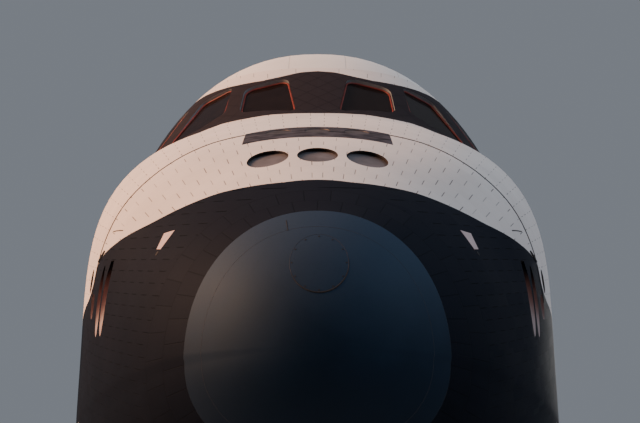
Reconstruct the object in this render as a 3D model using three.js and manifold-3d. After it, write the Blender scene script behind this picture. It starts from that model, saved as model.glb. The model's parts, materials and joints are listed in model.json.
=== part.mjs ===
// Space shuttle orbiter parked on its landing gear.
// Sizes and places are in inches, the unit the airframe was drawn in: x to port, y aft (the station), z up
// (the waterline). The airframe group turns them to the parked attitude and to millimetres.
import * as THREE from "three";
import { mergeVertices } from "three/addons/utils/BufferGeometryUtils.js";
import Module from "manifold-3d";

const wasm = await Module();
wasm.setup();

const MM_PER_INCH = 25.4;
const PARKED_PITCH = THREE.MathUtils.degToRad(3.5); // nose down
const SEAT = 0.3 / MM_PER_INCH; // between pieces that rest on each other
const RUN = 6.5 / MM_PER_INCH; // round a piece that moves
const GROUND = 239.65; // height of the ground under the airframe's zero, square to the ground
const FAR = 400; // past the airframe on any side
const PIN_SIDES = 16;

// Fuselage.
const NOSE_TIP = 238;
const CAP_END = 256;
const CABIN_END = 582;
const BAY_END = 1307;
const BASE = 1511;
const HALF_WIDTH = 105;
const NOSE_LENGTH = 352;
const BAY_RADIUS = 94;
const BAY_AXIS = 400;
const SILL = 414;
const WALL = 5;
const DECK = 336; // the forward fuselage's halves meet here, under the mid-deck and the thruster module
const FLIGHT_DECK = { low: 411, high: 416 };
const LOWER_STEPS = 6;
const UPPER_STEPS = 10;

// Sections of the forward fuselage: heights of the belly, the waist, the shoulder and the cabin roof, then the
// powers of the outline below the waist, at the side, at the shoulder and over the cabin.
const SECTION_COLUMNS = ["belly", "waist", "shoulder", "roof", "below", "side", "top", "dome"];
const SECTIONS = [
  // station, belly, waist, shoulder, roof, below, side, top, dome
  [256, 308, 334, 372.5, 372, 2.1, 2.1, 2.2, 2.1],
  [280, 297.5, 331, 386.5, 380, 2.2, 2, 2.6, 2.1],
  [305, 290.5, 328, 401, 390, 2.3, 1.95, 3, 2.1],
  [330, 285.8, 325.5, 414, 400, 2.4, 1.9, 3.4, 2.1],
  [360, 281.5, 323, 427.5, 412, 2.55, 1.85, 3.8, 2.1],
  [380, 279.2, 321.5, 435.5, 430, 2.7, 1.8, 4.2, 2.1],
  [394, 277.8, 320.5, 440.5, 442, 2.8, 1.8, 4.5, 2.1],
  [413, 276, 319.5, 445, 457.5, 2.9, 1.8, 4.8, 2.15],
  [432, 274.4, 319, 449, 472.5, 3, 1.8, 5, 2.2],
  [450, 273, 318.5, 452, 484.8, 3.1, 1.8, 5, 2.2],
  [470, 271.8, 319, 454, 492.8, 3.3, 1.8, 5, 2.25],
  [490, 270.6, 324, 456, 497.6, 3.5, 1.8, 4.5, 2.25],
  [520, 269.3, 342, 468, 500, 4.2, 1.9, 3.2, 2.15],
  [550, 268.3, 370, 486, 500, 5.2, 2, 2.4, 2.05],
  [582, 267.5, 400, 500, 500, 7, 2, 2, 2],
];
const TIP_HEIGHT = 336;

// Windows on the port side, by their corners.
const WINDOW_CORNER = 2.6;
const PANE = { recess: 0.9, thickness: 1.2 };
const WINDOWS = [
  // name, corners as station, span, height
  ["window_front", [[406.5, 30.5, 445.5], [426, 29.5, 461.5], [425, 12, 466], [395.5, 8, 442.5]]],
  ["window_middle", [[423, 59, 437], [440.5, 48.5, 461], [434, 34.5, 465], [413, 37.5, 448], [413, 46.5, 440.5]]],
  ["window_side", [[434, 65.5, 438], [447, 54.5, 463.5], [462, 58, 465], [462, 70, 440]]],
  ["window_overhead", [[478, 9, 495.3], [478, 27, 491.5], [498, 27, 494.5], [498, 9, 498.4]]],
  ["window_aft", [[582, 10, 462], [582, 10, 478], [582, 26, 478], [582, 26, 462]]],
];

// Forward thruster module, above the waist ahead of its rear seam.
const MODULE = { start: 258, end: 362 };
const THRUSTERS = [
  // middle as x, y, z, then the way it points, and its radius
  { at: [0, 306, 401], way: [0, -0.82, 0.57], radius: 4.6 },
  { at: [14.9, 305, 400], way: [0.1, -0.82, 0.57], radius: 4.6 },
  { at: [12, 341, 419], way: [0, 0, 1], radius: 4.2 },
  { at: [70, 324, 358], way: [0.96, -0.15, 0.2], radius: 4.4 },
  { at: [73, 341, 362], way: [0.97, -0.1, 0.2], radius: 4.4 },
];

// Side hatch, hinged at its lower edge.
const HATCH = { station: 506, height: 371, radius: 20, gap: RUN, taper: 1.6 };
const HATCH_SIDES = 24;
const HATCH_HINGE = { span: 104.6, height: 348.2, pin: 0.6 };

// Payload bay doors.
const DOOR = { wall: 6, bottom: SILL + 0.5, end: 0.4, middle: 0.13 };
const DOOR_HINGE = { span: 107.2, height: SILL, pin: 1.1, knuckle: 2.2, length: 6, lug: 3 };
const DOOR_HINGES = { first: 640, pitch: 152.5, count: 5 };

// Wing.
const GLOVE = { station: 500, span: 104, slope: 6.313, end: 187 };
const WING_TIP = 468;
const DIHEDRAL = Math.tan(THREE.MathUtils.degToRad(3.5));
const WING_FLOOR = 267.5;
const HINGE_STATION = 1387;
const TRAILING = { station: 1526, slope: Math.tan(THREE.MathUtils.degToRad(10.056)) };
const HINGE_RADIUS = { root: 17, tip: 4.2 };
const COVE_STEPS = 7;
const NOSE_STEPS = 7;
const LIP = { upper: 0.6, lower: 0.35, thin: 0.3 };
const WING_SECTIONS = [
  // span, crest station, crest thickness, power of the nose
  { span: 60, crest: 1190, thickness: 60, nose: 1.7 },
  { span: 105, crest: 1190, thickness: 58, nose: 1.7 },
  { span: 160, crest: 1195, thickness: 51, nose: 1.45 },
  { span: 187, crest: 1205, thickness: 47, nose: 1.1 },
  { span: 212, crest: 1222, thickness: 43, nose: 1 },
  { span: 260, crest: 1250, thickness: 37, nose: 1 },
  { span: 312, crest: 1280, thickness: 30, nose: 1 },
  { span: 400, crest: 1330, thickness: 18.5, nose: 1 },
  { span: 460, crest: 1352, thickness: 11, nose: 1 },
  { span: WING_TIP, crest: 1352, thickness: 9, nose: 1 },
];
const EDGE_PANELS = { start: 930, chord: 28, glove: 108.7 };
const ELEVONS = [
  // name, inboard and outboard span
  { name: "elevon_inboard", from: 110, to: 311.5 },
  { name: "elevon_outboard", from: 314.5, to: 465.4 },
];
const ELEVON_BRACKETS = [107.6, 313, 467];
const BRACKET = { half: 0.6, reach: 3, pin: 1.2, length: 4 };

// Vertical tail.
const TAIL = { floor: 501.5, top: 816, kink: 545, crest: 0.6, edge: 0.5 };
const TAIL_WEDGE = Math.tan(THREE.MathUtils.degToRad(5));
const TAIL_LEADING = { floor: 1309, kink: 1322, top: 1593 };
const TAIL_TRAILING = { floor: 1546, top: 1702 };
const RUDDER = { foot: [1531, 620], head: [1638, 795], pin: 2.2 };
const RUDDER_HALF = { foot: 10, head: 6.3, post: 0.8 }; // half of the tail at the hinge, and the post's share of it
const RUDDER_SLOT = { clear: 0.5, web: 0.9, aft: 200 };
const POST_SIDES = 18;
const SPLIT = 0.13; // half of the line between the rudder panels
const RUDDER_TAB = { post: 3, thickness: 1.6 }; // the tabs that carry the panels on the post's ends
const CHUTE = { from: 1500, to: 1590, height: 552, radius: 13, nose: 5 }; // drag chute's case under the rudder

// Rear pods and engines.
const POD_SECTIONS = [
  // station, middle span, middle height, half width, half height, power of the outline
  { station: 1309, span: 75, height: 463, width: 11, rise: 11, power: 2 },
  { station: 1324, span: 75, height: 467, width: 25, rise: 24, power: 2 },
  { station: 1350, span: 77, height: 472, width: 36.5, rise: 35, power: 2.1 },
  { station: 1392, span: 79, height: 477, width: 45, rise: 44, power: 2.2 },
  { station: 1445, span: 81, height: 481, width: 49.5, rise: 48.5, power: 2.4 },
  { station: 1495, span: 83, height: 483, width: 51, rise: 49.5, power: 2.6 },
  { station: 1520, span: 84, height: 483, width: 50, rise: 48.5, power: 2.6 },
];
const POD_SIDES = 24;
const JETS_SECTIONS = [
  { station: 1440, span: 112, height: 462, width: 20, rise: 27, power: 5 },
  { station: 1530, span: 117, height: 462, width: 17, rise: 26, power: 5 },
  { station: 1568, span: 117, height: 461, width: 15, rise: 23, power: 5 },
  { station: 1576, span: 117, height: 461, width: 12, rise: 19, power: 5 },
];
const JETS_SIDES = 16;
const POD_NOZZLE = { at: [88, 1522, 490], up: 15.8, out: 6.5 };
const ENGINES = [
  // name, gimbal as x, y, z, tilt up and out in degrees
  { name: "main_engine_upper", at: [0, 1445, 443], up: 16, out: 0 },
  { name: "main_engine_left", at: [53, 1468.2, 342.6], up: 10, out: 3.5 },
  { name: "main_engine_right", at: [-53, 1468.2, 342.6], up: 10, out: -3.5 },
];
const ENGINE_BAY = 38;
const ENGINE_SIDES = 20;

// Body flap.
const FLAP = { hinge: [1534, 286], radius: 9, chord: 81, half: 103, edge: 1, pin: 1.2 };

// Landing gear.
const NOSE_GEAR = { station: 378, tyre: 16, width: 8.8, track: 11.6, rim: 8.6, axle: 1.5, leg: 4.4, foot: 252 };
const NOSE_WELL = { start: 290, end: 390, half: 27.7, roof: 318 };
const NOSE_TRUNNION = { station: 382, height: 302, radius: 3.4 };
const MAIN_GEAR = { station: 1172, span: 136, tyre: 22.25, width: 16, track: 18, rim: 10.5, axle: 2.6, leg: 6.2 };
const MAIN_WELL = { start: 1032, end: 1192, low: 109, high: 167, roof: 311 };
const MAIN_TRUNNION = { station: 1176, height: 300, radius: 4.6 };
const DOOR_PANEL = 3;
const NOSE_DOOR_DROP = 2.4;
const TYRE_SIDES = 22;
const HUB_SIDES = 12;
const AXLE_SIDES = 32;
const BEAD = 0.36; // half of the rim's width, as a share of the tyre's

const PADS = [
  // station, span and radius of the flat attach pads under the belly, and which piece has them
  { node: "forward", station: 470, span: 0, radius: 7 },
  { node: "aft", station: 1330, span: 48, radius: 12 },
  { node: "aft", station: 1330, span: -48, radius: 12 },
];

const material = (color, roughness, metalness) => new THREE.MeshStandardMaterial({ color, roughness, metalness });
const MATERIALS = {
  whiteTile: material(0xd9d4cd, 0.75, 0),
  blackTile: material(0x1c1b1e, 0.6, 0),
  carbon: material(0x5c5f66, 0.45, 0),
  blanket: material(0xe0ddd7, 0.9, 0),
  glass: material(0x14171c, 0.08, 0),
  cabin: material(0x6d7074, 0.7, 0),
  radiator: material(0xc2c5c8, 0.25, 0.8),
  engine: material(0x6f6659, 0.4, 0.9),
  gear: material(0xb9bcbd, 0.5, 0.3),
  tyre: material(0x1d1d1e, 0.85, 0),
};

// Solids.
function signedVolume(position, index) {
  let sum = 0;
  const corner = [new THREE.Vector3(), new THREE.Vector3(), new THREE.Vector3()];
  for (let i = 0; i < index.length; i += 3) {
    corner.forEach((point, k) => point.fromArray(position, index[i + k] * 3));
    sum += corner[0].dot(corner[1].cross(corner[2]));
  }
  return sum;
}

function solid(geometry) {
  const bare = geometry.clone();
  bare.deleteAttribute("normal");
  bare.deleteAttribute("uv");
  const merged = mergeVertices(bare, 1e-4);
  const vertProperties = merged.getAttribute("position").array;
  const triVerts = new Uint32Array(merged.index.array);
  if (signedVolume(vertProperties, triVerts) < 0) triVerts.reverse();
  return new wasm.Manifold(new wasm.Mesh({ numProp: 3, vertProperties, triVerts }));
}

function geometryOf(piece) {
  const { vertProperties, triVerts } = piece.getMesh();
  const geometry = new THREE.BufferGeometry();
  geometry.setAttribute("position", new THREE.BufferAttribute(vertProperties, 3));
  geometry.setIndex(new THREE.BufferAttribute(triVerts, 1));
  const flat = geometry.toNonIndexed();
  flat.computeVertexNormals();
  return flat;
}

const airframe = new THREE.Group();

function place(name, piece, look, parent = airframe) {
  const mesh = new THREE.Mesh(geometryOf(piece), MATERIALS[look]);
  mesh.name = name;
  parent.add(mesh);
  return mesh;
}

function mirrored(piece) {
  return piece.mirror([1, 0, 0]);
}

// Closed surface through rings of points; the ends are filled in the plane of the two named axes.
function loft(rings, across, up) {
  const count = rings[0].length;
  const points = rings.flat();
  const index = [];
  for (let i = 0; i + 1 < rings.length; i++) {
    for (let j = 0; j < count; j++) {
      const a = i * count + j;
      const b = i * count + ((j + 1) % count);
      if (j < count / 2) index.push(a, b, b + count, a, b + count, a + count);
      else index.push(a, b, a + count, b, b + count, a + count);
    }
  }
  for (const [start, order] of [[0, [0, 2, 1]], [points.length - count, [0, 1, 2]]]) {
    const outline = points.slice(start, start + count).map((p) => new THREE.Vector2(p[across], p[up]));
    const faces = THREE.ShapeUtils.triangulateShape(outline, []);
    const area = faces.reduce((sum, face) => sum + THREE.ShapeUtils.area(face.map((k) => outline[k])), 0);
    const same = area * THREE.ShapeUtils.area(outline) > 0;
    for (const face of faces) {
      const ring = same ? face : [face[0], face[2], face[1]];
      index.push(...order.map((k) => start + ring[k]));
    }
  }
  const geometry = new THREE.BufferGeometry().setFromPoints(points);
  geometry.setIndex(index);
  return solid(geometry);
}

function box(x, y, z) {
  const geometry = new THREE.BoxGeometry(x[1] - x[0], y[1] - y[0], z[1] - z[0]);
  geometry.translate((x[0] + x[1]) / 2, (y[0] + y[1]) / 2, (z[0] + z[1]) / 2);
  return solid(geometry);
}

const vector = (p) => new THREE.Vector3(...p);

// A round bar, or a cone, between two points.
function bar(from, to, radius, sides = 16, endRadius = radius) {
  const a = vector(from);
  const b = vector(to);
  const way = b.clone().sub(a);
  const geometry = new THREE.CylinderGeometry(endRadius, radius, way.length(), sides);
  geometry.applyQuaternion(new THREE.Quaternion().setFromUnitVectors(vector([0, 1, 0]), way.normalize()));
  geometry.translate(...a.add(b).multiplyScalar(0.5).toArray());
  return solid(geometry);
}

// The hole a pin turns in: its flats clear the pin at every angle.
function bore(from, to, pin, sides = PIN_SIDES) {
  return bar(from, to, (pin + SEAT) / Math.cos(Math.PI / sides), sides);
}

// A turned piece: profile of [radius, distance] pairs about an axis through a point.
function turned(profile, at, way, sides) {
  const geometry = new THREE.LatheGeometry(profile.map((p) => new THREE.Vector2(...p)), sides);
  geometry.applyQuaternion(new THREE.Quaternion().setFromUnitVectors(vector([0, 1, 0]), vector(way).normalize()));
  geometry.translate(...at);
  return solid(geometry);
}

function joined(pieces) {
  return pieces.reduce((sum, piece) => sum.add(piece));
}

function cutBy(piece, cutters) {
  return cutters.reduce((rest, cutter) => rest.subtract(cutter), piece);
}

// Fuselage outline.
const sectionCurve = new THREE.CubicInterpolant(
  SECTIONS.map((row) => row[0]),
  SECTIONS.flatMap((row) => row.slice(1)),
  SECTION_COLUMNS.length,
);

function halfWidth(station) {
  const run = Math.min((station - NOSE_TIP) / NOSE_LENGTH, 1);
  return HALF_WIDTH * Math.sqrt(1 - (1 - run) ** 2);
}

function sectionAt(station) {
  const values = sectionCurve.evaluate(THREE.MathUtils.clamp(station, CAP_END, CABIN_END));
  const section = Object.fromEntries(SECTION_COLUMNS.map((name, i) => [name, values[i]]));
  if (station < CAP_END) {
    const scale = halfWidth(station) / halfWidth(CAP_END);
    for (const name of ["belly", "waist", "shoulder", "roof"])
      section[name] = TIP_HEIGHT + (section[name] - TIP_HEIGHT) * scale;
  }
  section.width = station < CABIN_END ? halfWidth(station) : HALF_WIDTH;
  return section;
}

// Distance from the middle to the outline |x/a|^p + |z/b|^q = 1 along an angle.
function reach(a, b, p, q, angle) {
  let low = 0;
  let high = 2 * Math.max(a, b);
  for (let i = 0; i < 40; i++) {
    const middle = (low + high) / 2;
    const inside = ((middle * Math.cos(angle)) / a) ** p + ((middle * Math.sin(angle)) / b) ** q < 1;
    if (inside) low = middle;
    else high = middle;
  }
  return low;
}

function hullRing(station, inset = 0) {
  const at = sectionAt(station);
  const width = at.width - inset;
  const half = [];
  for (let i = 0; i <= LOWER_STEPS; i++) {
    const turn = (i / LOWER_STEPS) * (Math.PI / 2);
    const drop = (at.waist - at.belly - inset) * Math.cos(turn) ** (2 / at.below);
    half.push([width * Math.sin(turn) ** (2 / at.below), at.waist - (i === LOWER_STEPS ? 0 : drop)]);
  }
  for (let i = 1; i <= UPPER_STEPS; i++) {
    const angle = (i / UPPER_STEPS) * (Math.PI / 2);
    const shoulder = reach(width, at.shoulder - at.waist - inset, at.side, at.top, angle);
    const cabin = reach(width, at.roof - at.waist - inset, at.dome, at.dome, angle);
    const far = Math.max(shoulder, cabin);
    half.push([i === UPPER_STEPS ? 0 : far * Math.cos(angle), at.waist + far * Math.sin(angle)]);
  }
  const other = half.slice(1, -1).reverse().map(([x, z]) => [-x, z]);
  return [...half, ...other].map(([x, z]) => vector([x, station, z]));
}

function hull(stations, inset = 0) {
  return loft(stations.map((station) => hullRing(station, inset)), "x", "z");
}

function stationsBetween(from, to) {
  const marks = [266, 280, 296, 314, 334, 350, 366, 381, 394, 404, 413, 423, 432, 441, 450, 461, 474, 490, 510, 532,
    556, CABIN_END];
  return [from, ...marks.filter((mark) => mark > from + 1 && mark < to - 1), to];
}

function noseCap() {
  const steps = [0, 0.12, 0.3, 0.5, 0.72, 1];
  const end = CAP_END - NOSE_TIP;
  return hull(steps.map((step) => NOSE_TIP + end * step * step));
}

// Window openings and panes.
function windowFrame(corners) {
  const points = corners.map(([station, span, height]) => vector([span, station, height]));
  const middle = points.reduce((sum, p) => sum.add(p), new THREE.Vector3()).divideScalar(points.length);
  const normal = new THREE.Vector3();
  points.forEach((p, i) => {
    const next = points[(i + 1) % points.length];
    normal.add(p.clone().sub(middle).cross(next.clone().sub(middle)));
  });
  normal.normalize();
  if (normal.dot(middle.clone().sub(vector([0, 520, 400]))) < 0) normal.negate();
  const across = points[1].clone().sub(points[0]).normalize();
  const along = normal.clone().cross(across).normalize();
  across.copy(along).cross(normal);
  const matrix = new THREE.Matrix4().makeBasis(across, along, normal).setPosition(middle);
  const flat = points.map((p) => p.clone().sub(middle)).map((p) => [p.dot(across), p.dot(along)]);
  return { matrix, flat };
}

function roundedOutline(points, radius, shrink) {
  const shape = new THREE.Shape();
  const inward = points.map(([x, y]) => {
    const length = Math.hypot(x, y);
    return [x * (1 - shrink / length), y * (1 - shrink / length)];
  });
  inward.forEach((p, i) => {
    const before = inward[(i + inward.length - 1) % inward.length];
    const after = inward[(i + 1) % inward.length];
    const step = (q) => {
      const length = Math.hypot(q[0] - p[0], q[1] - p[1]);
      return [p[0] + ((q[0] - p[0]) / length) * radius, p[1] + ((q[1] - p[1]) / length) * radius];
    };
    const start = step(before);
    if (i === 0) shape.moveTo(...start);
    else shape.lineTo(...start);
    shape.quadraticCurveTo(...p, ...step(after));
  });
  shape.closePath();
  return shape;
}

function windowPrism(corners, from, to, shrink = 0) {
  const { matrix, flat } = windowFrame(corners);
  const options = { depth: to - from, bevelEnabled: false, curveSegments: 2 };
  const geometry = new THREE.ExtrudeGeometry(roundedOutline(flat, WINDOW_CORNER, shrink), options);
  geometry.translate(0, 0, from);
  geometry.applyMatrix4(matrix);
  return solid(geometry);
}

const windowHoles = WINDOWS.flatMap(([, corners]) => {
  const hole = windowPrism(corners, -12, 8);
  return [hole, mirrored(hole)];
});

function windowPane(corners) {
  return windowPrism(corners, -PANE.recess - PANE.thickness, -PANE.recess, 2 * SEAT);
}

// Forward fuselage with its cabin, thruster module, hatch and nose wheel well.
const cabinStations = stationsBetween(396, 576);
const aboveDeck = (from, gap = 0) => box([-FAR, FAR], [from, 700], [DECK + gap, FAR * 2]);
const cabin = hull(cabinStations, WALL).intersect(aboveDeck(300));

function moduleBlock(grow) {
  return box([-FAR, FAR], [MODULE.start - grow, MODULE.end + grow], [DECK + SEAT - grow, FAR * 2]);
}

function thrusterHoles() {
  return THRUSTERS.flatMap(({ at, way, radius }) => {
    const direction = vector(way).normalize();
    const middle = vector(at);
    const outer = middle.clone().addScaledVector(direction, 9).toArray();
    const inner = middle.clone().addScaledVector(direction, -8).toArray();
    const hole = bar(inner, outer, radius * 0.8, 10, radius * 1.15);
    return at[0] === 0 ? [hole] : [hole, mirrored(hole)];
  });
}

function hatchCone(gap) {
  const { station, height, radius, taper } = HATCH;
  return bar([80, station, height], [112, station, height], radius - gap - taper, HATCH_SIDES, radius - gap);
}

function hatchHinge() {
  const { station } = HATCH;
  const { span, height } = HATCH_HINGE;
  const pin = bar([span, station - 7, height], [span, station + 7, height], HATCH_HINGE.pin);
  const lugs = [-1, 1].map((side) => {
    const middle = station + side * 6;
    const low = height - 3;
    return box([span - 6, span + 1], [middle - 1, middle + 1], [low, height + 1]);
  });
  return joined([pin, ...lugs]);
}

function hatchKnuckle() {
  const { station } = HATCH;
  const { span, height } = HATCH_HINGE;
  const reach = 5 - RUN;
  const tube = bar([span, station - reach, height], [span, station + reach, height], 1.3, 16);
  const arm = box([span - 1.3, span + 0.6], [station - reach, station + reach], [height + 0.6, height + 7]);
  const foot = box([span - 5.6, span + 0.6], [station - reach, station + reach], [height + 4.8, height + 8.3]);
  const hole = bore([span, station - 8, height], [span, station + 8, height], HATCH_HINGE.pin);
  return joined([tube, arm, foot]).subtract(hole);
}

function noseWell(grow = 0) {
  const { start, end, half, roof } = NOSE_WELL;
  return box([-half - grow, half + grow], [start - grow, end + grow], [200, roof]);
}

const forwardShell = hull(stationsBetween(CAP_END + SEAT, CABIN_END - SEAT));

function forwardLower() {
  const floor = box([-FAR, FAR], [200, 700], [0, DECK]);
  const rim = box([-FAR, FAR], [200, MODULE.start - SEAT], [DECK - WALL, FAR * 2]);
  const lower = forwardShell.intersect(floor.add(rim));
  return lower.add(attachPads("forward")).subtract(noseWell());
}

function forwardUpper() {
  const { station, height, radius } = HATCH;
  const upper = forwardShell.intersect(aboveDeck(MODULE.end + SEAT, SEAT));
  const hatchRoom = bar([80, station, height], [112, station, height], radius, HATCH_SIDES);
  return cutBy(upper, [cabin, hatchRoom, ...windowHoles]).add(hatchHinge());
}

function sideHatch() {
  const skin = hull([480, 504, 530]).subtract(hull([478, 504, 532], WALL));
  const plug = skin.intersect(hatchCone(HATCH.gap));
  return plug.add(hatchKnuckle());
}

function thrusterModule() {
  const block = hull(stationsBetween(CAP_END, MODULE.end + 4)).intersect(moduleBlock(0));
  return cutBy(block, thrusterHoles());
}

function flightDeck() {
  const inside = hull(cabinStations, WALL + SEAT);
  const floor = inside.intersect(box([-FAR, FAR], [402, 575], [FLIGHT_DECK.low, FLIGHT_DECK.high]));
  const seats = [-1, 1].flatMap((side) => {
    const x = side * 21;
    const base = box([x - 7, x + 7], [438, 456], [FLIGHT_DECK.high - 1, 426]);
    const pan = box([x - 9, x + 9], [434, 457], [425, 431]);
    const back = box([x - 9, x + 9], [453, 458], [428, 462]);
    return [base, pan, back];
  });
  return joined([floor, ...seats]);
}

function instrumentPanel() {
  const inside = hull(cabinStations, WALL + SEAT);
  const foot = FLIGHT_DECK.high + SEAT;
  const face = inside.intersect(box([-44, 44], [409, 419], [foot, 441]));
  const console = box([-6, 6], [418, 446], [foot, 431]);
  return face.add(console);
}

// Mid fuselage, payload bay and its doors.
function doorHinges(each) {
  return Array.from({ length: DOOR_HINGES.count }, (_, i) => each(DOOR_HINGES.first + i * DOOR_HINGES.pitch));
}

function sillHinge(station) {
  const { span, height, pin, knuckle, length, lug } = DOOR_HINGE;
  const half = length / 2;
  const rod = bar([span, station - half - 1, height], [span, station + half + 1, height], pin);
  const lugs = [-1, 1].flatMap((side) => {
    const near = station + side * half;
    const far = near + side * lug;
    const web = box([span - 8, span], [Math.min(near, far), Math.max(near, far)], [height - 6, height]);
    return [web, bar([span, near, height], [span, far, height], knuckle, 10)];
  });
  return joined([rod, ...lugs]);
}

function doorKnuckle(station) {
  const { span, height, pin, knuckle, length } = DOOR_HINGE;
  const half = length / 2 - RUN;
  const tube = bar([span, station - half, height], [span, station + half, height], knuckle, 10);
  const arm = box([span - 6, span], [station - half, station + half], [DOOR.bottom, DOOR.bottom + 2]);
  const hole = bore([span, station - length, height], [span, station + length, height], pin);
  return tube.add(arm).subtract(hole);
}

const fuselageRings = (from, to, inset) => hull([from, to], inset);

function midFuselage() {
  const block = fuselageRings(CABIN_END, BAY_END - SEAT).intersect(box([-FAR, FAR], [0, 2000], [0, SILL]));
  const bay = bar([0, 500, BAY_AXIS], [0, 1400, BAY_AXIS], BAY_RADIUS, 32);
  const trough = block.subtract(bay);
  const hinges = joined(doorHinges(sillHinge));
  return joined([trough, hinges, mirrored(hinges)]);
}

function bayDoor() {
  const from = CABIN_END + DOOR.end;
  const to = BAY_END - DOOR.end;
  const room = box([DOOR.middle, FAR], [0, 2000], [DOOR.bottom, FAR * 2]);
  const skin = fuselageRings(from, to).subtract(fuselageRings(from - 9, to + 9, DOOR.wall)).intersect(room);
  return joined([skin, ...doorHinges(doorKnuckle)]);
}

// Wing, leading edge and elevons, port side.
function leadingEdge(span) {
  return span < GLOVE.end ? GLOVE.station + (span - GLOVE.span) * GLOVE.slope : 837 + span;
}

const wingFloor = (span) => WING_FLOOR + Math.max(span - HALF_WIDTH, 0) * DIHEDRAL;

function hingeRadius(span) {
  return THREE.MathUtils.mapLinear(span, HALF_WIDTH, WING_TIP, HINGE_RADIUS.root, HINGE_RADIUS.tip);
}

const hingeHeight = (span) => wingFloor(span) + hingeRadius(span);

function wingRing({ span, crest, thickness, nose }) {
  const front = Math.max(leadingEdge(span), GLOVE.station - 60);
  const floor = wingFloor(span);
  const radius = hingeRadius(span);
  const around = (radius + RUN) / Math.cos(Math.PI / 3 / COVE_STEPS);
  const middle = hingeHeight(span);
  const edge = floor + thickness * 0.28;
  const points = [];
  for (let i = 0; i <= 7; i++) {
    const turn = (i / 7) * (Math.PI / 2);
    const y = front + (crest - front) * (1 - Math.cos(turn));
    points.push([y, edge + (floor + thickness - edge) * Math.sin(turn) ** nose]);
  }
  const upperLip = HINGE_STATION - LIP.upper * radius;
  const lipDepth = Math.max(LIP.lower * radius, Math.sqrt(around ** 2 - (radius - LIP.thin) ** 2));
  const lowerLip = HINGE_STATION - lipDepth;
  points.push([(crest + upperLip) / 2, floor + thickness * 0.62 + radius * 0.76]);
  points.push([upperLip, middle + radius * 1.03]);
  const start = Math.acos((-LIP.upper * radius) / around);
  const end = 2 * Math.PI - Math.acos(-lipDepth / around);
  for (let i = 0; i <= COVE_STEPS; i++) {
    const turn = start + ((end - start) * i) / COVE_STEPS;
    points.push([HINGE_STATION + around * Math.cos(turn), middle + around * Math.sin(turn)]);
  }
  points.push([lowerLip, floor]);
  const under = (crest - front) * 0.16;
  for (let i = 0; i < 4; i++) {
    const turn = (i / 4) * (Math.PI / 2);
    points.push([front + under * (1 - Math.sin(turn)), edge + (floor - edge) * Math.cos(turn)]);
  }
  return points.map(([y, z]) => vector([span, y, z]));
}

const wingWhole = loft(WING_SECTIONS.map(wingRing), "y", "z");
const besideHull = hull([...stationsBetween(440, CABIN_END), 1600], -SEAT);

function edgeRegion(grow) {
  const gloveLine = (station) => GLOVE.span + (station - GLOVE.station - EDGE_PANELS.glove) / GLOVE.slope;
  const line = 837 + EDGE_PANELS.chord;
  const kink = (line - GLOVE.station - EDGE_PANELS.glove + GLOVE.span * GLOVE.slope) / (GLOVE.slope - 1);
  const corners = [
    [gloveLine(EDGE_PANELS.start) - grow, EDGE_PANELS.start - grow],
    [kink - grow, line + kink + grow],
    [500, line + 500 + grow],
    [520, 1290],
    [230, 1000],
    [200, EDGE_PANELS.start - grow],
  ];
  const shape = new THREE.Shape(corners.map(([x, y]) => new THREE.Vector2(x, y)));
  const geometry = new THREE.ExtrudeGeometry(shape, { depth: 200, bevelEnabled: false });
  geometry.translate(0, 0, 200);
  return solid(geometry);
}

function elevonBrackets() {
  const axis = (span) => [span, HINGE_STATION, hingeHeight(span)];
  return ELEVON_BRACKETS.flatMap((span) => {
    const [, station, height] = axis(span);
    const deep = station - hingeRadius(span) - 4;
    const { half, reach: over, pin, length } = BRACKET;
    const plate = box([span - half, span + half], [deep, station + over], [height - 2.4, height + 2.4]);
    const from = span === ELEVON_BRACKETS[0] ? span : span - length;
    const to = span === ELEVON_BRACKETS[2] ? span : span + length;
    return [plate, bar(axis(from), axis(to), pin)];
  });
}

function mainWell() {
  const { start, end, low, high, roof } = MAIN_WELL;
  return box([low, high], [start, end], [100, roof]);
}

function wing() {
  const body = cutBy(wingWhole, [besideHull, edgeRegion(SEAT), mainWell()]);
  return joined([body, ...elevonBrackets()]);
}

function wingEdge() {
  return wingWhole.intersect(edgeRegion(0));
}

function elevonRing(span) {
  const radius = hingeRadius(span);
  const middle = hingeHeight(span);
  const points = [];
  for (let i = 0; i <= NOSE_STEPS; i++) {
    const turn = Math.PI / 2 + (Math.PI * i) / NOSE_STEPS;
    points.push([HINGE_STATION + radius * Math.cos(turn), middle + radius * Math.sin(turn)]);
  }
  const edge = TRAILING.station - span * TRAILING.slope;
  const height = middle - radius * 0.55;
  points.push([edge, height - 0.5], [edge, height + 0.5]);
  return points.map(([y, z]) => vector([span, y, z]));
}

function elevon({ from, to }) {
  const body = loft([elevonRing(from), elevonRing(to)], "y", "z");
  const bores = ELEVON_BRACKETS.map((span) => {
    const deep = BRACKET.length + 1;
    const axis = (x) => [x, HINGE_STATION, hingeHeight(x)];
    return bore(axis(Math.max(span - deep, HALF_WIDTH)), axis(span + deep), BRACKET.pin);
  });
  return cutBy(body, bores);
}

// Aft fuselage with engine sockets and the flap's cove.
function tilt(up, out) {
  const rise = THREE.MathUtils.degToRad(up);
  const side = THREE.MathUtils.degToRad(out);
  return [Math.sin(side) * Math.cos(rise), Math.cos(side) * Math.cos(rise), Math.sin(rise)];
}

const along = (at, way, distance) => at.map((value, i) => value + way[i] * distance);

function attachPads(node) {
  const pads = PADS.filter((pad) => pad.node === node).map(({ station, span, radius }) => {
    const skin = sectionAt(station).belly;
    return bar([span, station, skin + 12], [span, station, skin - 0.6], radius, 16);
  });
  return joined(pads);
}

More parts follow.
